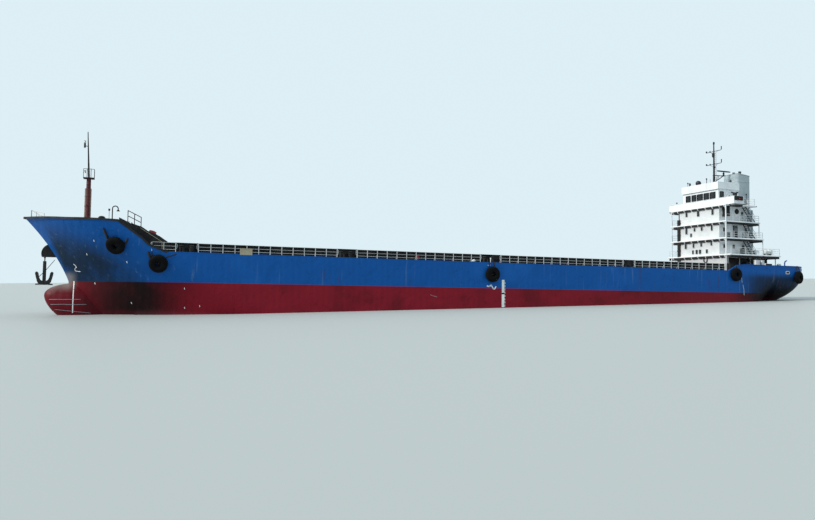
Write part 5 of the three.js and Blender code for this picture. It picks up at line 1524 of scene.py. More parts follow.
def deckRailsShape():
    # Three round bars on round posts along the side of every deck and its after end, and the square posts
    # that carry each deck's corners
    style = (galleries["rail"], 1.35, 0.022, 0.026)
    y = galleries["postY"]
    for foot, (top, aft, half, _) in zip(house["feet"], galleries["rows"]):
        edge, back = half - 0.12, aft + 0.12
        if top < 15:
            inner = 0.0 if top < 8 else galleries["casing"][1] + 0.15
            yield railShape([(galleries["fore"] - 0.25, edge, top), (back, edge, top)], *style)
            yield railShape([(back, edge, top), (back, inner, top)], *style)
            yield slab(aft + 0.05, aft + 0.17, y - 0.06, y + 0.06, foot, top - 0.1, 0.03, 2)
        else:
            yield railShape([(-40.95, 5.6, top), (back, 5.6, top), (back, 0.0, top)], *style)
        yield slab(-38.51, -38.37, y - 0.07, y + 0.07, foot, top - 0.1, 0.03, 2)


def deckStairsShape():
    # One flight from every deck to the next, in line below the openings
    foreX, aftX = galleries["stair"]
    for foot, (top, _, _, inner) in zip(house["feet"], galleries["rows"]):
        y = inner + galleries["openWidth"] / 2
        yield stairShape((foreX, y, top), (aftX, y, foot + 0.05), 0.62, 9)


def deckGirderShape():
    # The dark girder under each deck's side and after edges: a channel section swept round three sides
    deep, lift = galleries["girder"]
    section = [(-0.05, -deep), (0.05, -deep), (0.05, -deep + 0.05), (0.0, -deep + 0.05), (0.0, -lift - 0.05),
               (0.05, -lift - 0.05), (0.05, -lift), (-0.05, -lift)]
    fore = galleries["fore"] - 0.3
    for top, aft, half, _ in galleries["rows"][:-1]:
        edge, back = half - 0.1, aft + 0.2
        yield sweep([(fore, edge, top), (back, edge, top), (back, -edge, top), (fore, -edge, top)], section)
    yield bothSides(sweep([(-39.2, 6.55, 15.45), (-40.75, 6.55, 15.45)],
                          [(-0.05, -0.36), (0.05, -0.36), (0.05, -0.13), (-0.05, -0.13)]))


def wingParapetShape():
    # The plate parapet round the front and the wings: one wall that follows the deck's edge, with a flat bar
    # on top and brackets behind its wings
    yield sweep([(-40.85, 5.65, 15.95), (-40.85, 6.64, 15.95), (-39.0, 6.64, 15.95), (-39.0, -6.64, 15.95),
                 (-40.85, -6.64, 15.95), (-40.85, -5.65, 15.95)],
                [(-0.05, -0.62), (0.05, -0.62), (0.05, 0.6), (0.09, 0.6), (0.09, 0.65), (-0.09, 0.65),
                 (-0.09, 0.6),
                 (-0.05, 0.6)])
    for y in np.arange(-5.85, 6.0, 1.3):
        if abs(y) > 3.8:
            yield prism([(-39.04, 15.45), (-39.5, 15.45), (-39.04, 16.5)], y - 0.02, y + 0.02)


windows = {
    # [side, place along the wall, centre z, width, height]; side "f" is the front, "p" both side walls
    "rows": (("f", -2.44, 14.62, 0.5, 0.75), ("f", 0.02, 14.6, 0.55, 1.0), ("f", 2.94, 14.6, 0.5, 1.05),
             ("f", -2.49, 12.05, 0.5, 1.15), ("f", -0.76, 12.1, 0.42, 0.6), ("f", 0.73, 12.1, 0.42, 0.6),
             ("f", 2.75, 12.1, 0.42, 0.85), ("f", -1.5, 11.3, 0.42, 0.6), ("f", -2.66, 9.6, 0.5, 0.85),
             ("f", -1.0, 9.6, 0.42, 0.7), ("f", 0.6, 9.65, 0.42, 0.6), ("f", 2.64, 9.7, 0.4, 0.6),
             ("f", -1.13, 8.6, 0.42, 0.65), ("f", -0.35, 8.6, 0.5, 0.7), ("f", 0.35, 8.6, 0.5, 0.7),
             ("f", 1.73, 8.6, 0.45, 0.65),
             ("p", -39.5, 14.4, 0.5, 0.6), ("p", -43.3, 14.4, 0.5, 0.6), ("p", -44.0, 11.9, 0.45, 0.6),
             ("p", -39.6, 11.8, 0.5, 0.6), ("p", -39.6, 9.3, 0.5, 0.6), ("p", -41.5, 9.3, 0.5, 0.6),
             ("p", -43.4, 9.3, 0.5, 0.6)),
    # [axis across the wall, the wall's place on it, direction out]
    "walls": {"f": (("x", house["front"], 1),), "p": (("y", house["half"], 1), ("y", -house["half"], -1))},
    "proud": 0.05, "corner": 0.11,
}
wheelhouse = {
    # [axis across the wall, the wall's place on it, direction out, spans of its windows]
    "walls": (("x", -39.053, 1, ((-3.07, -2.04), (-1.83, -0.85), (-0.71, 0.52), (0.68, 1.77), (1.91, 3.06))),
              ("x", -43.05, -1, ((1.4, 2.6), (-2.6, -1.4))),
              ("y", 3.65, 1, ((-40.1, -39.3), (-42.75, -41.95))),
              ("y", -3.65, -1, ((-40.1, -39.3), (-42.75, -41.95)))),
    "z": (16.65, 17.65), "corner": 0.08,
}


def opening(axis, place, way, span, corner, steps):
    # A window in a wall: the loop of its edge and the direction out of the wall
    return laid(roundRect(*span, corner, steps), axis, place), np.eye(3)["xyz".index(axis)] * way


def houseOpenings():
    # Every window of the four tiers
    for side, along, z, width, height in windows["rows"]:
        span = (along - width / 2, along + width / 2, z - height / 2, z + height / 2)
        for wall in windows["walls"][side]:
            yield opening(*wall, span, windows["corner"], 4)


def wheelhouseOpenings():
    # Every window of the wheelhouse
    for *wall, spans in wheelhouse["walls"]:
        for span in spans:
            yield opening(*wall, (*span, *wheelhouse["z"]), wheelhouse["corner"], 3)


def frameShape(openings, lift, half, thick):
    # A rounded bar round each opening, at a distance from its wall
    for loop, out in openings:
        yield sweep(loop + out * lift, roundRect(-half, half, -thick, thick, 0.015, 2), out, closed=True)


def paneShape(openings, low, high):
    # The panes: each loop filled as a thin slab between two distances from its wall
    for loop, out in openings:
        yield lofted([loop + out * low, loop + out * high])


def wheelhouseFrameShape():
    # Rubber-black gaskets round the panes, and a wiper of two bars on each front pane
    yield from frameShape(wheelhouseOpenings(), -0.03, 0.04, 0.045)
    _, front, _, spans = wheelhouse["walls"][0]
    x = front + 0.03
    for span in spans:
        y = sum(span) / 2
        yield bars([(x, y, 17.62), (x, y + 0.28, 17.25)], [(x, y + 0.28, 17.05), (x, y + 0.3, 16.8)], 0.014,
                   6)


wings = {"half": 6.69, "panel": ((-40.72, -39.02), (15.95, 16.58))}
lantern = ((0, 0.08), (0.03, 0.09), (0.05, 0.07), (0.19, 0.07), (0.21, 0.09), (0.24, 0.05), (0.26, 0.01))


def wingScreenShape():
    # The sidelight's black screen: a raised panel on the wing's outer side, with a shelf and a back plate
    (x0, x1), (z0, z1) = wings["panel"]
    y = wings["half"]
    loop = roundRect(x0, x1, z0, z1, 0.08, 3)
    middle = loop.mean(0)
    yield lofted([laid(middle + (loop - middle) * share, "y", y + out)
                  for out, share in ((0.0, 1.0), (0.05, 1.0), (0.075, 0.96))])
    yield boxes([(x0 + 0.4, y, z0 + 0.06), (x0 + 0.4, y, z0 + 0.1)],
                [(x1 - 0.4, y + 0.3, z0 + 0.1), (x0 + 0.44, y + 0.3, z1 - 0.05)])


def sidelightShape(side):
    # A lantern turned from one profile, on the screen's shelf
    (x0, x1), (z0, _) = wings["panel"]
    yield lathe(lantern, ((x0 + x1) / 2, side * (wings["half"] + 0.19), z0 + 0.11), sides=16)


roof = {"z": 18.15, "parapet": 19.1, "fore": -38.83, "aft": -43.17, "half": 3.77,
        "dome": (-39.5, -0.85, 19.5, 0.42),
        "compasses": ((-39.3, -2.45), (-42.3, 2.9))}


def roofRimShape():
    # A rolled edge round the compass deck's parapet and a drip edge at its foot
    x0, x1, y = roof["fore"] - 0.04, roof["aft"] + 1.0, roof["half"] - 0.04
    path = np.array([(x1, y), (x0, y), (x0, -y), (x1, -y)])
    yield tube(laid(path, "z", roof["parapet"]), 0.05, 10)
    yield tube(laid(path * [1, 1.01], "z", roof["z"] - 0.02), 0.035, 8)


def domeShape():
    # The dome aerial and two small turned heads, one of them the magnetic compass's
    x, y, z, r = roof["dome"]
    sphere = arc(1e-4, z - roof["z"], r, -1.1, pi / 2, 16)[:, ::-1]
    stem = [(0, 0.16), (0.05, 0.16), (0.07, 0.09), (sphere[0, 0], 0.09)]
    small = [(0, 0.05), (1.15, 0.05), (1.2, 0.14), (1.42, 0.16), (1.56, 0.1), (1.6, 0.01)]
    yield lathe(stem + sphere.tolist(), (x, y, roof["z"]), sides=28)
    for place in roof["compasses"]:
        yield lathe(small, (*place, roof["z"]), sides=18)


trunk = {"y": (-4.32, -3.78), "z": (6.5, 13.9), "depth": 0.34, "clips": (6.9, 8.9, 9.9, 11.4, 13.4),
         "hose": (1.5, 7.2, 0.32)}


def trunkShape():
    # The black service trunk up the front, a rounded channel with clips at each deck, and a coiled hose
    # beside it
    (y0, y1), x = trunk["y"], house["front"]
    yield slab(x - 0.02, x + trunk["depth"] - 0.1, y0, y1, *trunk["z"], 0.06)
    for z in trunk["clips"]:
        yield slab(x - 0.02, x + trunk["depth"] - 0.06, y0 - 0.05, y1 + 0.05, z, z + 0.1, 0.06)
    y, z, reach = trunk["hose"]
    bend = laid(arc(y, z, reach, pi, 2 * pi, 13), "x", x + 0.12)
    ends = laid([(y - reach, z + 0.55), (y + reach, z + 0.55)], "x", x + 0.12)
    yield tube(np.concatenate([ends[:1], bend, ends[1:]]), 0.07, 10, (1, 0, 0))


deckGear = {
    # upright ventilators and lockers on the gallery decks: [x, y, deck, radius, height]
    "vents": ((-44.9, 5.1, 7.95, 0.2, 0.9), (-46.6, 3.6, 7.95, 0.25, 1.1), (-47.6, 2.6, 7.95, 0.2, 0.8),
              (-49.2, 4.6, 5.3, 0.22, 0.95), (-52.6, 3.2, 5.3, 0.16, 0.75)),
    # [x, y, z, length, width, height]
    "lockers": ((-39.4, 5.1, 5.3, 0.9, 0.5, 0.9), (-41.2, 5.2, 5.3, 0.7, 0.5, 1.1),
                (-43.2, 6.9, 5.3, 0.8, 0.5, 0.95),
                (-45.3, 6.6, 5.3, 0.9, 0.5, 1.0), (-47.0, 6.4, 5.3, 0.7, 0.5, 0.8),
                (-42.4, 5.0, 7.95, 0.6, 0.5, 1.0),
                (-39.9, 4.6, 10.45, 0.5, 0.4, 0.9)),
    "lifebuoys": ((-42.2, -5.62, 8.6), (-43.9, -5.62, 11.0)),
    # lamps on the roof and the wing: [x, y, foot, height]
    "lamps": ((-39.44, -5.5, 16.55, 0.45), (-39.41, -3.0, 19.1, 0.8), (-41.59, 6.5, 15.45, 1.6),
              (-40.35, 0.0, 18.15, 2.1)),
    # junction boxes, and a round cover high on the port wall
    "boxes": ((-41.71, 3.72, 17.61), (-42.8, 3.72, 17.68), (-38.5, -1.9, 12.9)),
    "cover": (-42.2, 4.12, 14.68),
    # air intakes in the first tier's side walls, painted black so that they also stand for the shade under
    # the deck above: [aft, fore, lowest and highest z]
    "intakes": ((-47.0, -45.9, 6.3, 7.6), (-45.6, -43.9, 6.3, 7.6), (-43.3, -41.6, 6.3, 7.6),
                (-41.3, -39.4, 5.9, 7.6)),
    "intakeStyle": {"lift": 0.04, "bar": (0.03, 0.06), "levels": (0.08, 0.06, 0.13),
                    "slat": ((0, 0.06), (0.08, -0.03), (0.08, 0), (0, 0.12))},
}


def ventShape():
    # Mushroom ventilators: a turned stem with a domed cap and a hand wheel
    for x, y, z, r, h in deckGear["vents"]:
        yield lathe([(0, r * 1.2), (0.05, r * 1.2), (0.06, r * 0.8), (h * 0.6, r * 0.8), (h * 0.62, r * 1.4),
                     (h * 0.8, r * 1.45), (h * 0.93, r * 1.1), (h, 0.02)], (x, y, z), sides=20)


def lockerShape():
    # Steel lockers with rounded corners, a lid that overhangs and a lifted foot
    for x, y, z, length, width, height in deckGear["lockers"]:
        x0, x1, y0, y1 = x - length / 2, x + length / 2, y - width / 2, y + width / 2
        locker = merged(slab(x0, x1, y0, y1, z + 0.06, z + height - 0.05, 0.05),
                        slab(x0 - 0.03, x1 + 0.03, y0 - 0.03, y1 + 0.03, z + height - 0.06, z + height, 0.06),
                        boxes([(x0 + 0.05, y - 0.15, z), (x1 - 0.13, y - 0.15, z)],
                              [(x0 + 0.13, y + 0.15, z + 0.08), (x1 - 0.05, y + 0.15, z + 0.08)]))
        # the outer ones are to port alone: the rescue boat lies there to starboard
        yield locker if y > 6.2 else bothSides(locker)


def fittingAndShadeShape():
    # Turned lamps on posts, rounded boxes on the walls and a shallow round cover high on the port wall
    for x, y, foot, high in deckGear["lamps"]:
        yield lathe([(0, 0.09), (0.04, 0.035), (high - 0.22, 0.035), (high - 0.2, 0.1), (high - 0.04, 0.11),
                     (high, 0.04)], (x, y, foot), sides=14)
    for x, y, z in deckGear["boxes"]:
        yield slab(x - 0.12, x + 0.12, z - 0.1, z + 0.1, y - 0.1, y + 0.06, 0.03, 2, "y")
    yield lathe([(0, 0.42), (0.06, 0.4), (0.09, 0.2), (0.1, 0.02)], deckGear["cover"], (0, 1, 0), 24)
    # black plates that stand for the shade under each wing, and a black box that stands for the shade at the
    # fore end of each side deck
    yield bothSides(boxes([(-40.85, 5.75, 15.08), (-39.95, 4.12, 13.75)],
                          [(-39.05, 6.5, 15.3), (-39.3, 4.95, 15.3)]))


# [hinge x, y, foot, width, height] of the port doors
doorGear = {"wheelhouse_door": (-40.6, 3.75, 15.55, 0.9, 2.0), "house_door": (-41.4, 4.2, 10.55, 0.85, 1.95)}


def doorGearShape(name):
    # A port door's dressing: a raised rim, a round light's ring and a lever, on its outer face
    x, y, foot, width, height = doorGear[name]
    face, aft = y + 0.05, x - width
    handle = np.array([aft + 0.12, face, foot + 0.95])
    rim = laid(roundRect(aft + 0.05, x - 0.12, foot + 0.06, foot + height - 0.06, 0.12, 4), "y", face)
    return merged(sweep(rim, roundRect(-0.025, 0.025, -0.02, 0.02, 0.01, 1), (0, 1, 0), closed=True),
                  torus((x - width / 2 - 0.03, face + 0.005, foot + height * 0.72), (0, 1, 0), 0.17, 0.03,
                        sides=24,
                        ribs=8),
                  bars(handle, handle + [0, 0.07, 0], 0.025),
                  bars(handle + [0, 0.06, 0], handle + [0.18, 0.06, -0.02], 0.02))


def doorLightShape(name):
    # The round pane in a port door, turned from one profile
    x, y, foot, width, height = doorGear[name]
    centre = (x - width / 2 - 0.03, y + 0.03, foot + height * 0.72)
    return lathe([(0, 0.16), (0.03, 0.16), (0.035, 0.12)], centre, (0, 1, 0), 20)


addPiece("houseTiers", tierShape(), whitePaint, sharp=50,
         stands=["house_tier_1", "house_tier_2", "house_tier_3", "house_tier_4"])
addPiece("deckPlates", deckPlateShape(), whitePaint,
         stands=["poop_deck", "gallery_deck_2", "gallery_deck_3", "bridge_deck"])
addPiece("deckRims", deckRimShape(), whitePaint)
addPiece("galleryRails", deckRailsShape(), whitePaint, both=True)
# the flights take the dark grey that stands for the galleries' shade
addPiece("galleryStairs", deckStairsShape(), paintedShadeGrey, both=True)
addPiece("houseFittingsAndShade", fittingAndShadeShape(), blackPaint)
addPiece("wingParapet", wingParapetShape(), whitePaint)
addPiece("deckBrackets", bracketShape(), whitePaint)
# black panels that stand for the shadow under the decks' front edges
addPiece("underDeckShadePanels", underDeckShadeShape(), blackPaint)
addPiece("deckGirders", deckGirderShape(), blackPaint)
addPiece("windowFrames", frameShape(houseOpenings(), windows["proud"] / 2, 0.03, 0.035), railPaint)
addPiece("windowPanes", paneShape(houseOpenings(), -0.02, 0.018), glassDark)
addPiece("wheelhousePanes", paneShape(wheelhouseOpenings(), -0.07, -0.045), glassDark)
addPiece("wheelhouseFrames", wheelhouseFrameShape(), blackPaint)
addPiece("wingScreens", wingScreenShape(), blackPaint, both=True)
addPiece("sidelightPort", sidelightShape(1), redLens)
addPiece("sidelightStarboard", sidelightShape(-1), greenLens)
addPiece("roofRim", roofRimShape(), whitePaint)
addPiece("roofDomes", domeShape(), radomeBlack, sharp=50)
addPiece("frontTrunk", trunkShape(), blackPaint)
addPiece("deckVents", ventShape(), whitePaint, both=True)
# the lockers take the dark grey that stands for the shade under the decks
addPiece("deckLockers", lockerShape(), paintedShadeGrey)
# black intakes that also stand for the shade on the first tier's sides
addPiece("tierLouvresAndShade",
         [intakeShape(*row, house["tiers"][0][3], deckGear["intakeStyle"]) for row in deckGear["intakes"]],
         blackPaint, both=True)
addPiece("lifebuoys", [torus(place, (0, 1, 0), 0.29, 0.075, 0.8, 32, 12) for place in deckGear["lifebuoys"]],
         buoyOrange)
for name in ("wheelhouse", "compass_deck"):
    dressNode(name, whitePaint)
for word, turnOver in (("port", merged), ("starboard", mirrored)):
    for name in doorGear:
        body = f"{name}_{word}"
        dressNode(body, blackPaint if name == "house_door" else whitePaint)
        addPiece(f"{body}_gear", [turnOver(doorGearShape(name))], railPaint, body=body)
        addPiece(f"{body}_light", [turnOver(doorLightShape(name))], glassDark, body=body)
print("stage: house")

funnel = {
    "fore": -44.9, "aft": -48.0, "half": 2.0, "foot": 7.96, "shoulder": 15.45, "stackHalf": 1.5, "lean": 0.4,
    "top": (21.2, 20.9), "pipes": (0.6, -0.6), "bands": (17.2, 19.9),
    # air intakes: [x, z, width, height]
    "intakes": ((-46.45, 16.5, 1.5, 0.9), (-46.45, 13.9, 1.8, 1.0), (-46.45, 11.4, 1.8, 1.0)),
    "intakeStyle": {"lift": 0.05, "bar": (0.04, 0.06), "levels": (0.1, 0.05, 0.11),
                    "slat": ((0, 0.05), (0.09, -0.02), (0.09, 0), (0, 0.07))},
}


def funnelShape():
    # The casing: one rounded plan carried up; the stack over it narrows, its fore side leans and its top
    # slopes aft
    x0, x1, shoulder = funnel["aft"], funnel["fore"], funnel["shoulder"]
    plan = roundRect(x0, x1, -funnel["half"], funnel["half"], 0.25, 6)
    x, y = roundRect(x0, x1, -funnel["stackHalf"], funnel["stackHalf"], 0.45, 6).T
    share = np.linspace(0, 1, 9)[:, None]
    forwardness = (x - x0) / (x1 - x0)
    topZ = funnel["top"][1] + (funnel["top"][0] - funnel["top"][1]) * forwardness
    stack = at(x - funnel["lean"] * forwardness * share, y, shoulder + (topZ - shoulder) * share)
    casing = [laid(plan, "z", z) for z in (funnel["foot"], 10.4, 12.9, 15.2, shoulder - 0.02)]
    yield lofted([*casing, laid(plan * [0.97, 0.95] + [-1.4, 0], "z", shoulder), *stack])


def funnelTrimShape():
    # Two half-round belts and a rolled rim round the stack, upright stiffeners on the casing and a ladder aft
    x0, x1, half, shoulder = funnel["aft"], funnel["fore"], funnel["stackHalf"], funnel["shoulder"]
    topFore, topAft = funnel["top"]
    for z in funnel["bands"]:
        lean = funnel["lean"] * (z - shoulder) / (topFore - shoulder)
        yield tube(laid(roundRect(x0, x1 - lean, -half, half, 0.45, 6), "z", z), 0.05, 8, closed=True)
    x, y = roundRect(x0, x1 - funnel["lean"], -half, half, 0.45, 6).T
    slope = (topFore - topAft) / (x1 - funnel["lean"] - x0)
    yield tube(at(x, y, topAft + slope * (x - x0)), 0.06, 8, closed=True)
    x = np.arange(-47.6, -45.0, 0.65)
    yield bothSides(boxes(at(x - 0.02, 2.0, 8.1), at(x + 0.02, 2.06, 15.2)))
    yield ladderShape(-48.12, 0, (0, 0.2, 0), np.arange(8.4, 20.6, 0.33), (8.2, 20.9), (0.018, 0.03))


def funnelIntakeShape():
    # Air intakes in the stack's side and in the casing's
    for x, z, width, height in funnel["intakes"]:
        wall = (funnel["stackHalf"] if z > funnel["shoulder"] else funnel["half"]) - 0.02
        yield intakeShape(x - width / 2, x + width / 2, z - height / 2, z + height / 2, wall,
                          funnel["intakeStyle"])


def exhaustShape():
    # Exhaust pipes with flanges, their ends cut and rolled, leaning aft, and a small vent behind them
    profile = [(0, 0.22), (0.5, 0.22), (0.52, 0.27), (0.58, 0.27), (0.6, 0.22), (1.18, 0.22), (1.2, 0.24),
               (1.22, 0.2), (0.9, 0.18)]
    for y in funnel["pipes"]:
        yield lathe(profile, (-46.5, y, 20.5), (-0.2, 0, 1.2), 20)
    yield lathe([(0, 0.1), (0.75, 0.1), (0.78, 0.13), (0.8, 0.02)], (-47.4, 0.05, 20.6), sides=12)


radarMast = {
    "x": -41.9, "foot": 18.16, "yards": (24.65, 22.6), "half": 1.52, "bracket": (-43.9, 20.86),
    "boxes": ((0.02, 24.05, 0.17, 0.36), (0.22, 22.05, 0.13, 0.16)),
    "profile": ((0, 0.42), (0.05, 0.42), (0.08, 0.35), (0.45, 0.33), (0.6, 0.2), (2.6, 0.165), (2.62, 0.2),
                (2.7, 0.2),
                (2.72, 0.15), (5.6, 0.12), (7.6, 0.08), (7.62, 0.14), (7.9, 0.14), (8.0, 0.09), (8.04, 0.01)),
}


def radarMastShape():
    # A stepped tube with a stiffened foot; two yards with upright ends to port and lamps to starboard; a
    # lattice bracket aft that carries the radar; a ladder up its after side
    x, half = radarMast["x"], radarMast["half"]
    yield lathe(radarMast["profile"], (x, 0, radarMast["foot"]), sides=20)
    for z in radarMast["yards"]:
        yield tube([(x, -half, z), (x, half - 0.08, z), (x, half, z + 0.08), (x, half, z + 0.6)], 0.045, 10)
        yield bars((x, half, z + 0.12), (x, half, z + 0.58), 0.07, 10)
        yield bars([(x, -0.8, z), (x, 0.8, z)], [(x, -0.1, z - 0.5), (x, 0.1, z - 0.5)], 0.022, 6)
        yield lathe([(0, 0.08), (0.04, 0.11), (0.2, 0.11), (0.24, 0.12), (0.27, 0.05)], (x, -half, z),
                    sides=14)
        yield lathe([(0, 0.06), (0.03, 0.08), (0.16, 0.08), (0.19, 0.03)], (x, -0.8, z + 0.03), sides=12)
    for y, z, wide, height in radarMast["boxes"]:
        yield superBlob((x + 0.12, y, z), (wide, wide, height), 0.4, 10, 16)
    farX, shelf = radarMast["bracket"]
    for y in (0.13, -0.13):
        yield bars([(x, y, shelf), (x, y, 19.7), (x - 0.9, y, shelf)],
                   [(farX - 0.15, y, shelf), (farX + 0.2, y, shelf - 0.05), (x - 0.6, y, 20.15)], 0.035)
    yield slab(farX - 0.3, farX + 0.5, -0.28, 0.28, shelf + 0.02, shelf + 0.07, 0.1)
    yield lathe([(0, 0.17), (0.05, 0.17), (0.08, 0.12), (0.3, 0.12), (0.33, 0.16), (0.45, 0.16),
                 (0.47, 0.05)],
                (farX, 0, shelf + 0.02), sides=18)
    yield ladderShape(x - 0.28, 0, (0, 0.16, 0), np.arange(18.6, 24.2, 0.32), (18.4, 24.4), (0.014, 0.018), 6)
    yield bars([(x, -1.5, 18.2), (x - 0.4, -1.2, 19.15)], [(x, -1.5, 20.6), (x - 0.4, -1.2, 20.4)], 0.022)
    yield superBlob((x, -1.35, 19.0), (0.14, 0.14, 0.28), 0.4, 8, 14)


scanner = {"x": -43.9, "half": 1.375, "z": (21.5, 21.72), "deep": 0.09}


def scannerShape():
    # The radar's slotted bar: a lens-shaped section along x that thins towards both ends, on a turned neck
    share = np.linspace(-1, 1, 15)[:, None]
    size = 1 - np.abs(share) ** 6 * 0.35
    turn = np.linspace(0, 2 * pi, 18, endpoint=False)
    low, high = scanner["z"]
    yield lofted(at(scanner["x"] + scanner["half"] * share,
                    scanner["deep"] * lifted(np.cos(turn), 0.6) * size,
                    (low + high) / 2 + (high - low) / 2 * lifted(np.sin(turn), 0.6) * size))
    yield lathe([(0, 0.1), (0.06, 0.1), (0.08, 0.07), (0.14, 0.07), (0.17, 0.12), (0.19, 0.1)],
                (scanner["x"], 0, 21.36), sides=18)


boat = {"middle": -44.9, "length": 4.2, "y": -7.0, "keel": 5.75, "rise": 0.75, "chocks": (-44.06, -45.96)}


def boatLoops(levels, inset=0.0):
    # Half breadths of the rescue boat's plan at several heights: full aft, drawn together in a power curve
    # forward
    share = np.linspace(0, 1, 26)
    level = np.asarray(levels, float)[:, None]
    taper = 1 - np.clip((share - 0.5) / 0.5, 0, 1) ** 2.2 * 0.93
    half = np.maximum((0.35 + 0.45 * level ** 0.5) * taper - inset, 0.02)
    x = boat["middle"] - boat["length"] / 2 + boat["length"] * share + inset * (share < 0.02)
    z = boat["keel"] + boat["rise"] * level + 0.2 * np.maximum(share - 0.6, 0)
    return np.concatenate([at(x, boat["y"] + half, z), at(x, boat["y"] - half, z)[:, ::-1]], 1)


def boatHullShape():
    # The hull's shell: loops from the keel up to the gunwale and down again inside to the sole
    yield lofted(np.concatenate([boatLoops(np.linspace(0, 1, 8)), boatLoops((1.0, 0.6, 0.45), 0.1)]))


def boatTubeShape():
    # The fender collar: a foam tube that follows the gunwale
    collar = boatLoops((0.97,))[0]
    keep = np.concatenate([[True], np.linalg.norm(np.diff(collar, axis=0), axis=1) > 0.03])
    yield tube(collar[keep], 0.075, 12, closed=True)


def boatFittingShape():
    # Thwarts, a steering stand, an outboard motor with its leg and the lifting bridle's post
    x, y = boat["middle"], boat["y"]
    for thwart in (x - 1.1, x + 0.4):
        yield slab(thwart - 0.15, thwart + 0.15, y - 0.62, y + 0.62, 6.24, 6.29, 0.05)
    yield superBlob((x - 0.35, y, 6.35), (0.22, 0.28, 0.34), 0.4, 10, 18)
    yield superBlob((x - 2.0, y, 6.5), (0.2, 0.17, 0.2), 0.6, 10, 18)
    yield bars((x - 2.02, y, 6.4), (x - 2.08, y, 5.75), 0.06, 10)
    yield bars((x + 0.05, y, 6.1), (x + 0.05, y, 6.62), 0.035, 10)


def cradleShape():
    # Two padded chocks under the boat, cut to the hull's round, each on a bed plate
    y = boat["y"]
    hollow = arc(y, 6.2, (0.5, 0.55), pi * 1.15, pi * 1.85, 9)
    outline = np.concatenate([hollow, [(y + 0.5, 5.62), (y + 0.3, 5.32), (y - 0.3, 5.32), (y - 0.5, 5.62)]])
    for x in boat["chocks"]:
        yield prism(outline, x - 0.05, x + 0.05, "x")
        yield boxes((x - 0.16, y - 0.5, 5.3), (x + 0.16, y + 0.5, 5.34))


davit = {"x": -42.2, "y": -7.0, "tipX": -44.35}


def davitPostShape():
    # A turned foot with a flange, bolts round it and a slewing ring on top
    profile = [(0, 0.42), (0.06, 0.42), (0.08, 0.3), (0.9, 0.27), (1.0, 0.3), (1.12, 0.3), (1.18, 0.26)]
    yield lathe(profile, (davit["x"], davit["y"], 5.31), sides=24)
    bolts = laid(circle(12, 0.36) + [davit["x"], davit["y"]], "z", 5.3)
    yield bars(bolts, bolts + [0, 0, 0.11], 0.03, 6)


def davitArmShape():
    # The column and its curved jib as one tapering tube along a quadratic curve; a sheave, a block and a hook
    # at the jib's end, a winch on the column, and a brace between them
    x, y, tip = davit["x"], davit["y"], davit["tipX"]
    share = np.linspace(0, 1, 11)[:, None]
    a, b, c = np.array([(x, y, 8.0), (x - 0.05, y, 9.2), (tip, y, 9.5)])
    curve = a * (1 - share) ** 2 + 2 * b * share * (1 - share) + c * share ** 2
    yield tube(np.concatenate([[(x, y, 6.52), (x, y, 7.4)], curve]),
               np.concatenate([[0.22, 0.19], np.linspace(0.185, 0.1, 11)]), 16, (0, 1, 0))
    yield lathe([(-0.06, 0.13), (-0.05, 0.17), (-0.03, 0.17), (0, 0.12), (0.03, 0.17), (0.05, 0.17),
                 (0.06, 0.13)],
                (tip, y, 9.38), (0, 1, 0), 20)
    yield superBlob((tip, y, 8.95), (0.09, 0.07, 0.13), 0.6, 8, 14)
    yield torus((tip, y, 8.74), (0, 1, 0), 0.06, 0.022, sides=20, ribs=8)
    yield bars((tip, y, 9.3), (tip, y, 9.0), 0.015, 6)
    yield lathe([(-0.2, 0.1), (-0.18, 0.2), (-0.15, 0.2), (-0.13, 0.11), (0.13, 0.11), (0.15, 0.2),
                 (0.18, 0.2),
                 (0.2, 0.1)], (x - 0.28, y, 7.3), (0, 1, 0), 20)
    yield bars((x - 0.1, y, 8.1), (x - 1.2, y, 9.28), 0.05)


raft = {"x": -47.5, "y": 5.6, "z": 8.58, "feet": (-46.33, -47.17)}


def raftShape():
    # A canister turned from one profile: two domed halves, a joint with a raised seam and three ribs
    profile = [(0, 0.05), (0.03, 0.22), (0.1, 0.31), (0.2, 0.345), (0.3, 0.345), (0.32, 0.36), (0.36, 0.36),
               (0.38, 0.345), (0.7, 0.345), (0.71, 0.375), (0.79, 0.375), (0.8, 0.345), (1.12, 0.345),
               (1.14, 0.36), (1.18, 0.36), (1.2, 0.345), (1.3, 0.345), (1.4, 0.31), (1.47, 0.22), (1.5, 0.05)]
    yield lathe(profile, (raft["x"], raft["y"], raft["z"]), (1, 0, 0), 28)


def raftCradleShape():
    # Each canister lies on two curved feet and is held by two straps
    y, z = raft["y"], raft["z"]
    outline = np.concatenate([arc(y, z, 0.37, pi * 1.08, pi * 1.92, 11),
                              [(y + 0.38, 8.3), (y + 0.3, 7.97), (y - 0.3, 7.97), (y - 0.38, 8.3)]])
    for x in raft["feet"]:
        yield prism(outline, x - 0.06, x + 0.06, "x")
        yield sweep(laid(arc(y, z, 0.37, -0.1, pi + 0.1, 19), "x", x), flatBar(0.03, 0.006), (1, 0, 0))


winch = {"x": -50.3, "z": 6.0}


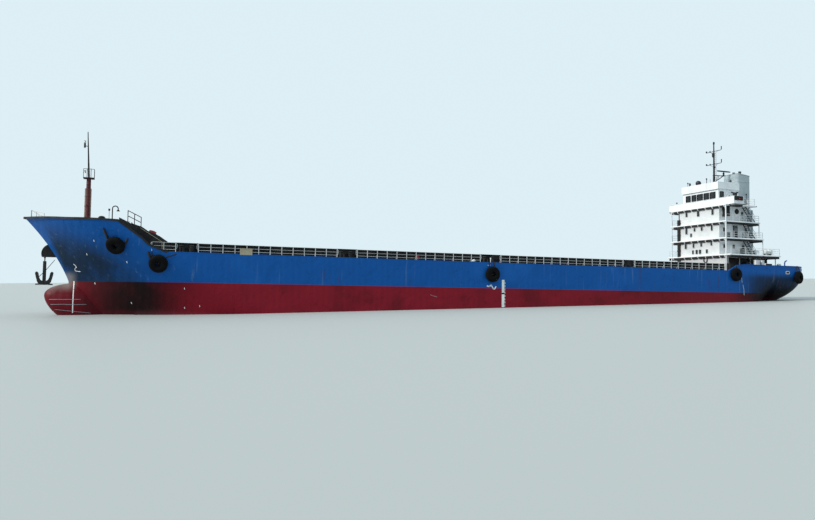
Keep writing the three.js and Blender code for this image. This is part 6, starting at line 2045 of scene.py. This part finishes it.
def mooringWinchShape():
    # Two drums with flanges on one shaft, a gear case between them, warping heads at the ends and a bed plate
    x, z = winch["x"], winch["z"]
    yield slab(x - 0.6, x + 0.6, -1.9, 1.9, 5.32, 5.42, 0.1)
    half = [(0.38, 0.14), (0.4, 0.2), (0.78, 0.2), (0.8, 0.45), (0.85, 0.45), (0.87, 0.22), (1.42, 0.22),
            (1.44, 0.45), (1.5, 0.45), (1.52, 0.12), (1.86, 0.12), (1.88, 0.24), (1.98, 0.15), (2.06, 0.24),
            (2.1, 0.2)]
    yield bothSides(lathe(half, (x, 0, z), (0, 1, 0), 28))
    yield superBlob((x, 0, z - 0.1), (0.42, 0.38, 0.52), 0.35, 12, 24)
    yield lathe([(0, 0.16), (0.05, 0.2), (0.4, 0.2), (0.45, 0.12)], (x + 0.3, 0, z + 0.1), (1, 0, 0), 20)
    pedestal = [(x - 0.28, 5.42), (x + 0.28, 5.42), (x + 0.14, z + 0.14), (x - 0.14, z + 0.14)]
    yield bothSides(*[prism(pedestal, y, y + 0.08) for y in (1.66, 0.66)])


def winchRopeShape():
    # Rope laid on each drum in even turns: a closed ring for every turn, two layers deep
    for layer, radius in enumerate((0.26, 0.33)):
        for y in np.arange(0.92 + 0.04 * layer, 1.4, 0.08):
            yield torus((winch["x"], y, winch["z"]), (0, 1, 0), radius, 0.04, sides=28, ribs=6)


afterGear = {
    # mushroom ventilators beside the house and on the after deck: [x, y, foot, radius, top]
    "vents": ((-46.3, 5.6, 5.31, 0.2, 6.9), (-49.6, 5.2, 5.31, 0.26, 6.9)),
    # lockers, hose boxes and upright cabinets: [x0, x1, y0, y1, top]
    "cabinets": ((-43.95, -43.1, 6.3, 6.75, 7.2), (-44.95, -44.42, 6.3, 6.65, 7.2)),
    "boxes": ((-42.7, -42.0, 5.5, 6.0, 6.9), (-47.2, -46.2, 5.45, 6.05, 6.75), (-39.4, -38.7, 5.5, 6.1, 6.6)),
    "davitPost": (-49.4, 6.4, 5.31, 7.3), "bollards": ((-48.7, 6.9), (-53.2, 3.6)),
}


def afterVentShape():
    # Taller mushroom ventilators: the cap keeps its height whatever the stem's
    for x, y, foot, r, top in afterGear["vents"]:
        h = top - foot
        yield lathe([(0, r * 1.15), (0.05, r * 1.15), (0.07, r * 0.7), (h - 0.52, r * 0.7),
                     (h - 0.5, r * 1.2),
                     (h - 0.16, r * 1.25), (h - 0.05, r * 0.9), (h, 0.03)], (x, y, foot), sides=20)


def afterBoxShape(kind):
    # Cabinets with rounded upright edges and a lid that stands out, a profile carried up
    for x0, x1, y0, y1, top in afterGear[kind]:
        yield slab(x0, x1, y0, y1, 5.36, top - 0.06, 0.06)
        yield slab(x0 - 0.03, x1 + 0.03, y0 - 0.03, y1 + 0.03, top - 0.07, top, 0.06)


def afterBollardShape():
    # Twin bollards on the after deck and an upright post with a hook for stores
    post = [(0, 0.2), (0.6, 0.2), (0.63, 0.26), (0.7, 0.26), (0.74, 0.16)]
    for x, y in afterGear["bollards"]:
        for shift in (-0.45, 0.45):
            yield lathe(post, (x + shift, y, 5.36), sides=18)
        yield slab(x - 0.8, x + 0.8, y - 0.28, y + 0.28, 5.31, 5.38, 0.1)
    x, y, foot, top = afterGear["davitPost"]
    yield tube([(x, y, foot), (x, y, top - 0.4), (x - 0.12, y, top - 0.12), (x - 0.45, y, top)], 0.09, 12,
               (0, 1, 0))


screw = {"x": -46.95, "z": -1.5, "root": 0.2, "radius": 1.6, "blades": 4, "start": 0.3, "pitch": (0.8, 0.42)}


def bladeShape():
    # One blade upright: chord and thickness as curves of the span, twisted from root to tip by the pitch,
    # with a lens-shaped section and the leading edge drawn aft towards the tip
    span = np.linspace(0, 1, 16)[:, None]
    turn = np.linspace(0, 2 * pi, 20, endpoint=False)
    chord = 0.24 + 0.30 * np.sin(pi * np.minimum(span * 0.78 + 0.05, 1)) ** 0.8
    chord = chord * np.sqrt(np.clip(1 - np.clip((span - 0.72) / 0.29, 0, 1) ** 2.2, 0, 1)) + 0.01
    across = 0.03 + 0.08 * span ** 2 + chord * np.cos(turn)
    lift = (0.07 - 0.055 * span) * np.sin(turn) * (0.65 + 0.35 * np.cos(turn))
    angle = screw["pitch"][0] + (screw["pitch"][1] - screw["pitch"][0]) * span
    return lofted(at(screw["x"] - across * np.sin(angle) + lift * np.cos(angle),
                     across * np.cos(angle) + lift * np.sin(angle),
                     screw["z"] + screw["root"] + (screw["radius"] - screw["root"]) * span))


def screwShape():
    # The blades set evenly round a hub turned from one profile, with a rope guard's groove and a cone
    x, z = screw["x"], screw["z"]
    for k in range(screw["blades"]):
        yield turned(bladeShape(), np.degrees(screw["start"]) + 360 / screw["blades"] * k, (1, 0, 0),
                     (x, 0, z))
    hub = [(0.0, 0.3), (0.04, 0.36), (0.42, 0.36), (0.44, 0.33), (0.48, 0.33), (0.5, 0.35), (0.75, 0.32),
           (0.95, 0.25), (1.05, 0.16), (1.1, 0.02)]
    yield lathe(hub, (x + 0.5, 0, z), (-1, 0, 0), 28)


rudder = {"x": -49.1, "fore": 0.75, "aft": 1.75, "half": 0.22, "z": (-3.1, -0.1), "stock": (0.17, 0.4)}


def rudderShape():
    # The foil: a loop of half thicknesses along the chord, t = h (2.6 sqrt(s) - 1.9 s - 0.7 s^2), closing to
    # a thin after edge, carried down and drawn in at both ends; the stock is turned above it
    share = np.linspace(0, 1, 18) ** 1.4
    half = rudder["half"] * np.maximum(2.6 * np.sqrt(share) - 1.9 * share - 0.7 * share ** 2, 0) / 0.78 + 0.02
    half = np.minimum(half, rudder["half"])
    x = rudder["x"] + rudder["fore"] - (rudder["fore"] + rudder["aft"]) * share
    loop = np.concatenate([np.stack([x, half], -1), np.stack([x, -half], -1)[::-1]])
    middle = loop.mean(0) * [1, 0]
    low, high = rudder["z"]
    rows = [(low, 0.9), (low + 0.04, 0.97), (low + 0.12, 1.0), (high - 0.12, 1.0), (high - 0.04, 0.97),
            (high, 0.9)]
    yield lofted([laid(middle + (loop - middle) * [1 - (1 - s) * 0.3, s], "z", z) for z, s in rows])
    radius, height = rudder["stock"]
    yield lathe([(0, radius + 0.07), (0.08, radius + 0.07), (0.1, radius), (height, radius)],
                (rudder["x"], 0, high - 0.2), sides=20)


engine = {"x": (-44.9, -40.3), "foot": -0.36, "cylinders": 6}


def engineShape():
    # The crankcase: a section with sloping shoulders carried along the shaft; cylinder covers turned on top;
    # the exhaust trunk and the charge air trunk beside them; a turbocharger forward and a flywheel aft
    (x0, x1), low = engine["x"], engine["foot"]
    yield prism([(-1.2, low), (1.2, low), (1.25, 0.2), (1.0, 0.5), (0.85, 1.7), (0.5, 1.95), (-0.5, 1.95),
                 (-0.85, 1.7), (-1.0, 0.5), (-1.25, 0.2)], x0 + 0.5, x1 - 0.3, "x")
    cover = [(0, 0.3), (0.12, 0.3), (0.14, 0.26), (0.5, 0.26), (0.52, 0.2), (0.7, 0.18), (0.72, 0.05)]
    for x in np.linspace(x0 + 0.95, x1 - 0.8, engine["cylinders"]):
        yield lathe(cover, (x, 0, 1.94), sides=20)
        yield tube([(x, 0.2, 2.3), (x, 0.55, 2.45), (x, 0.75, 2.3)], 0.09, 10, (1, 0, 0))
        yield bothSides(lathe([(0, 0.2), (0.03, 0.2), (0.05, 0.15)], (x, 0.98, 0.95), (0, 1, 0), 16))
    for radius, y, z in ((0.22, 0.85, 2.25), (0.2, -0.75, 1.95)):
        yield lathe([(0, 0.05), (0.02, radius), (3.4, radius), (3.42, 0.05)], (x0 + 0.7, y, z), (1, 0, 0), 18)
    yield lathe([(0, 0.2), (0.1, 0.42), (0.3, 0.45), (0.4, 0.25), (0.55, 0.3), (0.7, 0.4), (0.8, 0.2)],
                (x1 - 0.82, 0.35, 2.45), (1, 0, 0), 24)
    yield lathe([(0, 0.2), (0.03, 0.85), (0.3, 0.85), (0.33, 0.3), (0.5, 0.3)], (x0 + 0.02, 0, 0.75),
                (1, 0, 0), 32)


console = {"section": ((-40.1, 15.47), (-39.55, 15.47), (-39.5, 15.6), (-39.5, 16.5), (-39.56, 16.56),
                       (-39.75, 16.6),
                       (-40.05, 16.42), (-40.1, 16.36)),
           "spans": ((-2.2, -0.78), (-0.74, 0.74), (0.78, 2.2)),
           "screens": (-1.6, -1.15, 1.15, 1.6, 0.4, -0.4)}


def consoleShape():
    # The steering console: a cranked section across the ship with sloping tops, screens on it, a wheel and a
    # chair
    for y0, y1 in console["spans"]:
        yield prism(console["section"], y0, y1)
    for y in console["screens"]:
        place = (-39.9, y, 16.53)
        yield turned(superBlob(place, (0.14, 0.17, 0.02), 0.3, 6, 16), -31, (0, 1, 0), place)
    yield torus((-40.16, 0, 16.3), (1, 0, 0.3), 0.2, 0.018, sides=28, ribs=8)
    yield bars([(-40.16, -0.19, 16.3), (-40.14, 0, 16.12)], [(-40.16, 0.19, 16.3), (-40.17, 0, 16.48)],
               0.012, 6)
    yield lathe([(0, 0.25), (0.04, 0.25), (0.06, 0.05), (0.5, 0.05)], (-41.1, 0.9, 15.47), sides=18)
    yield superBlob((-41.1, 0.9, 16.0), (0.26, 0.26, 0.07), 0.5, 8, 18)
    yield superBlob((-41.35, 0.9, 16.4), (0.06, 0.24, 0.36), 0.5, 8, 18)


addPiece("funnelCasing", funnelShape(), funnelGrey, sharp=50, stands=["funnel"])
addPiece("funnelTrim", funnelTrimShape(), funnelGrey)
addPiece("funnelLouvres", funnelIntakeShape(), funnelGrey, both=True)
addPiece("exhausts", exhaustShape(), rustySteel)
addPiece("radarMastFrame", radarMastShape(), blackPaint, stands=["radar_mast"])
addPiece("radarBar", scannerShape(), radomeBlack, body="radar_scanner", sharp=50,
         stands=["radar_scanner"])
addPiece("boatHull", boatHullShape(), boatOrange, stands=["rescue_boat"])
addPiece("boatCollar", boatTubeShape(), radomeBlack, sharp=60)
addPiece("boatFittings", boatFittingShape(), machineGrey)
addPiece("boatCradles", cradleShape(), whitePaint)
addPiece("davitFoot", davitPostShape(), whitePaint, stands=["davit_post"])
addPiece("davitJib", davitArmShape(), whitePaint, body="davit_arm", stands=["davit_arm"])
addPiece("liferafts", raftShape(), raftWhite, stands=["liferaft_port", "liferaft_starboard"],
         both=True)
addPiece("raftCradles", raftCradleShape(), zinc, both=True)
addPiece("mooringWinch", mooringWinchShape(), machineGrey, stands=["mooring_winch"])
addPiece("winchRopes", winchRopeShape(), ropeTarred, sharp=60, both=True)
addPiece("afterVents", afterVentShape(), whitePaint, both=True)
addPiece("afterLockers", afterBoxShape("boxes"), blackPaint, both=True)
# the cabinets are to port alone: the boat lies where their twins would stand to starboard
addPiece("afterCabinets", afterBoxShape("cabinets"), whitePaint)
addPiece("afterBollards", afterBollardShape(), shipside, both=True)
addPiece("screw", screwShape(), bronze, body="propeller", stands=["propeller"], sharp=50)
addPiece("rudderBlade", rudderShape(), rudderRed, body="rudder", stands=["rudder"])
# zinc anodes bolted to the rudder's sides
addPiece("rudderAnodes",
         [superBlob((rudder["x"] - 0.4, 0.2, z), (0.3, 0.06, 0.09), 0.4, 8, 18) for z in (-0.8, -2.3)],
         zinc, body="rudder", both=True)
addPiece("engineBlock", engineShape(), machineGrey, stands=["main_engine"])
addPiece("steeringConsole", consoleShape(), machineGrey, stands=["bridge_console"])
dressNode("hatch_coaming", blackPaint)
dressNode("hull_cross_bulkhead", holdLining)
print("stage: after gear, funnel, mast, screw and rudder")
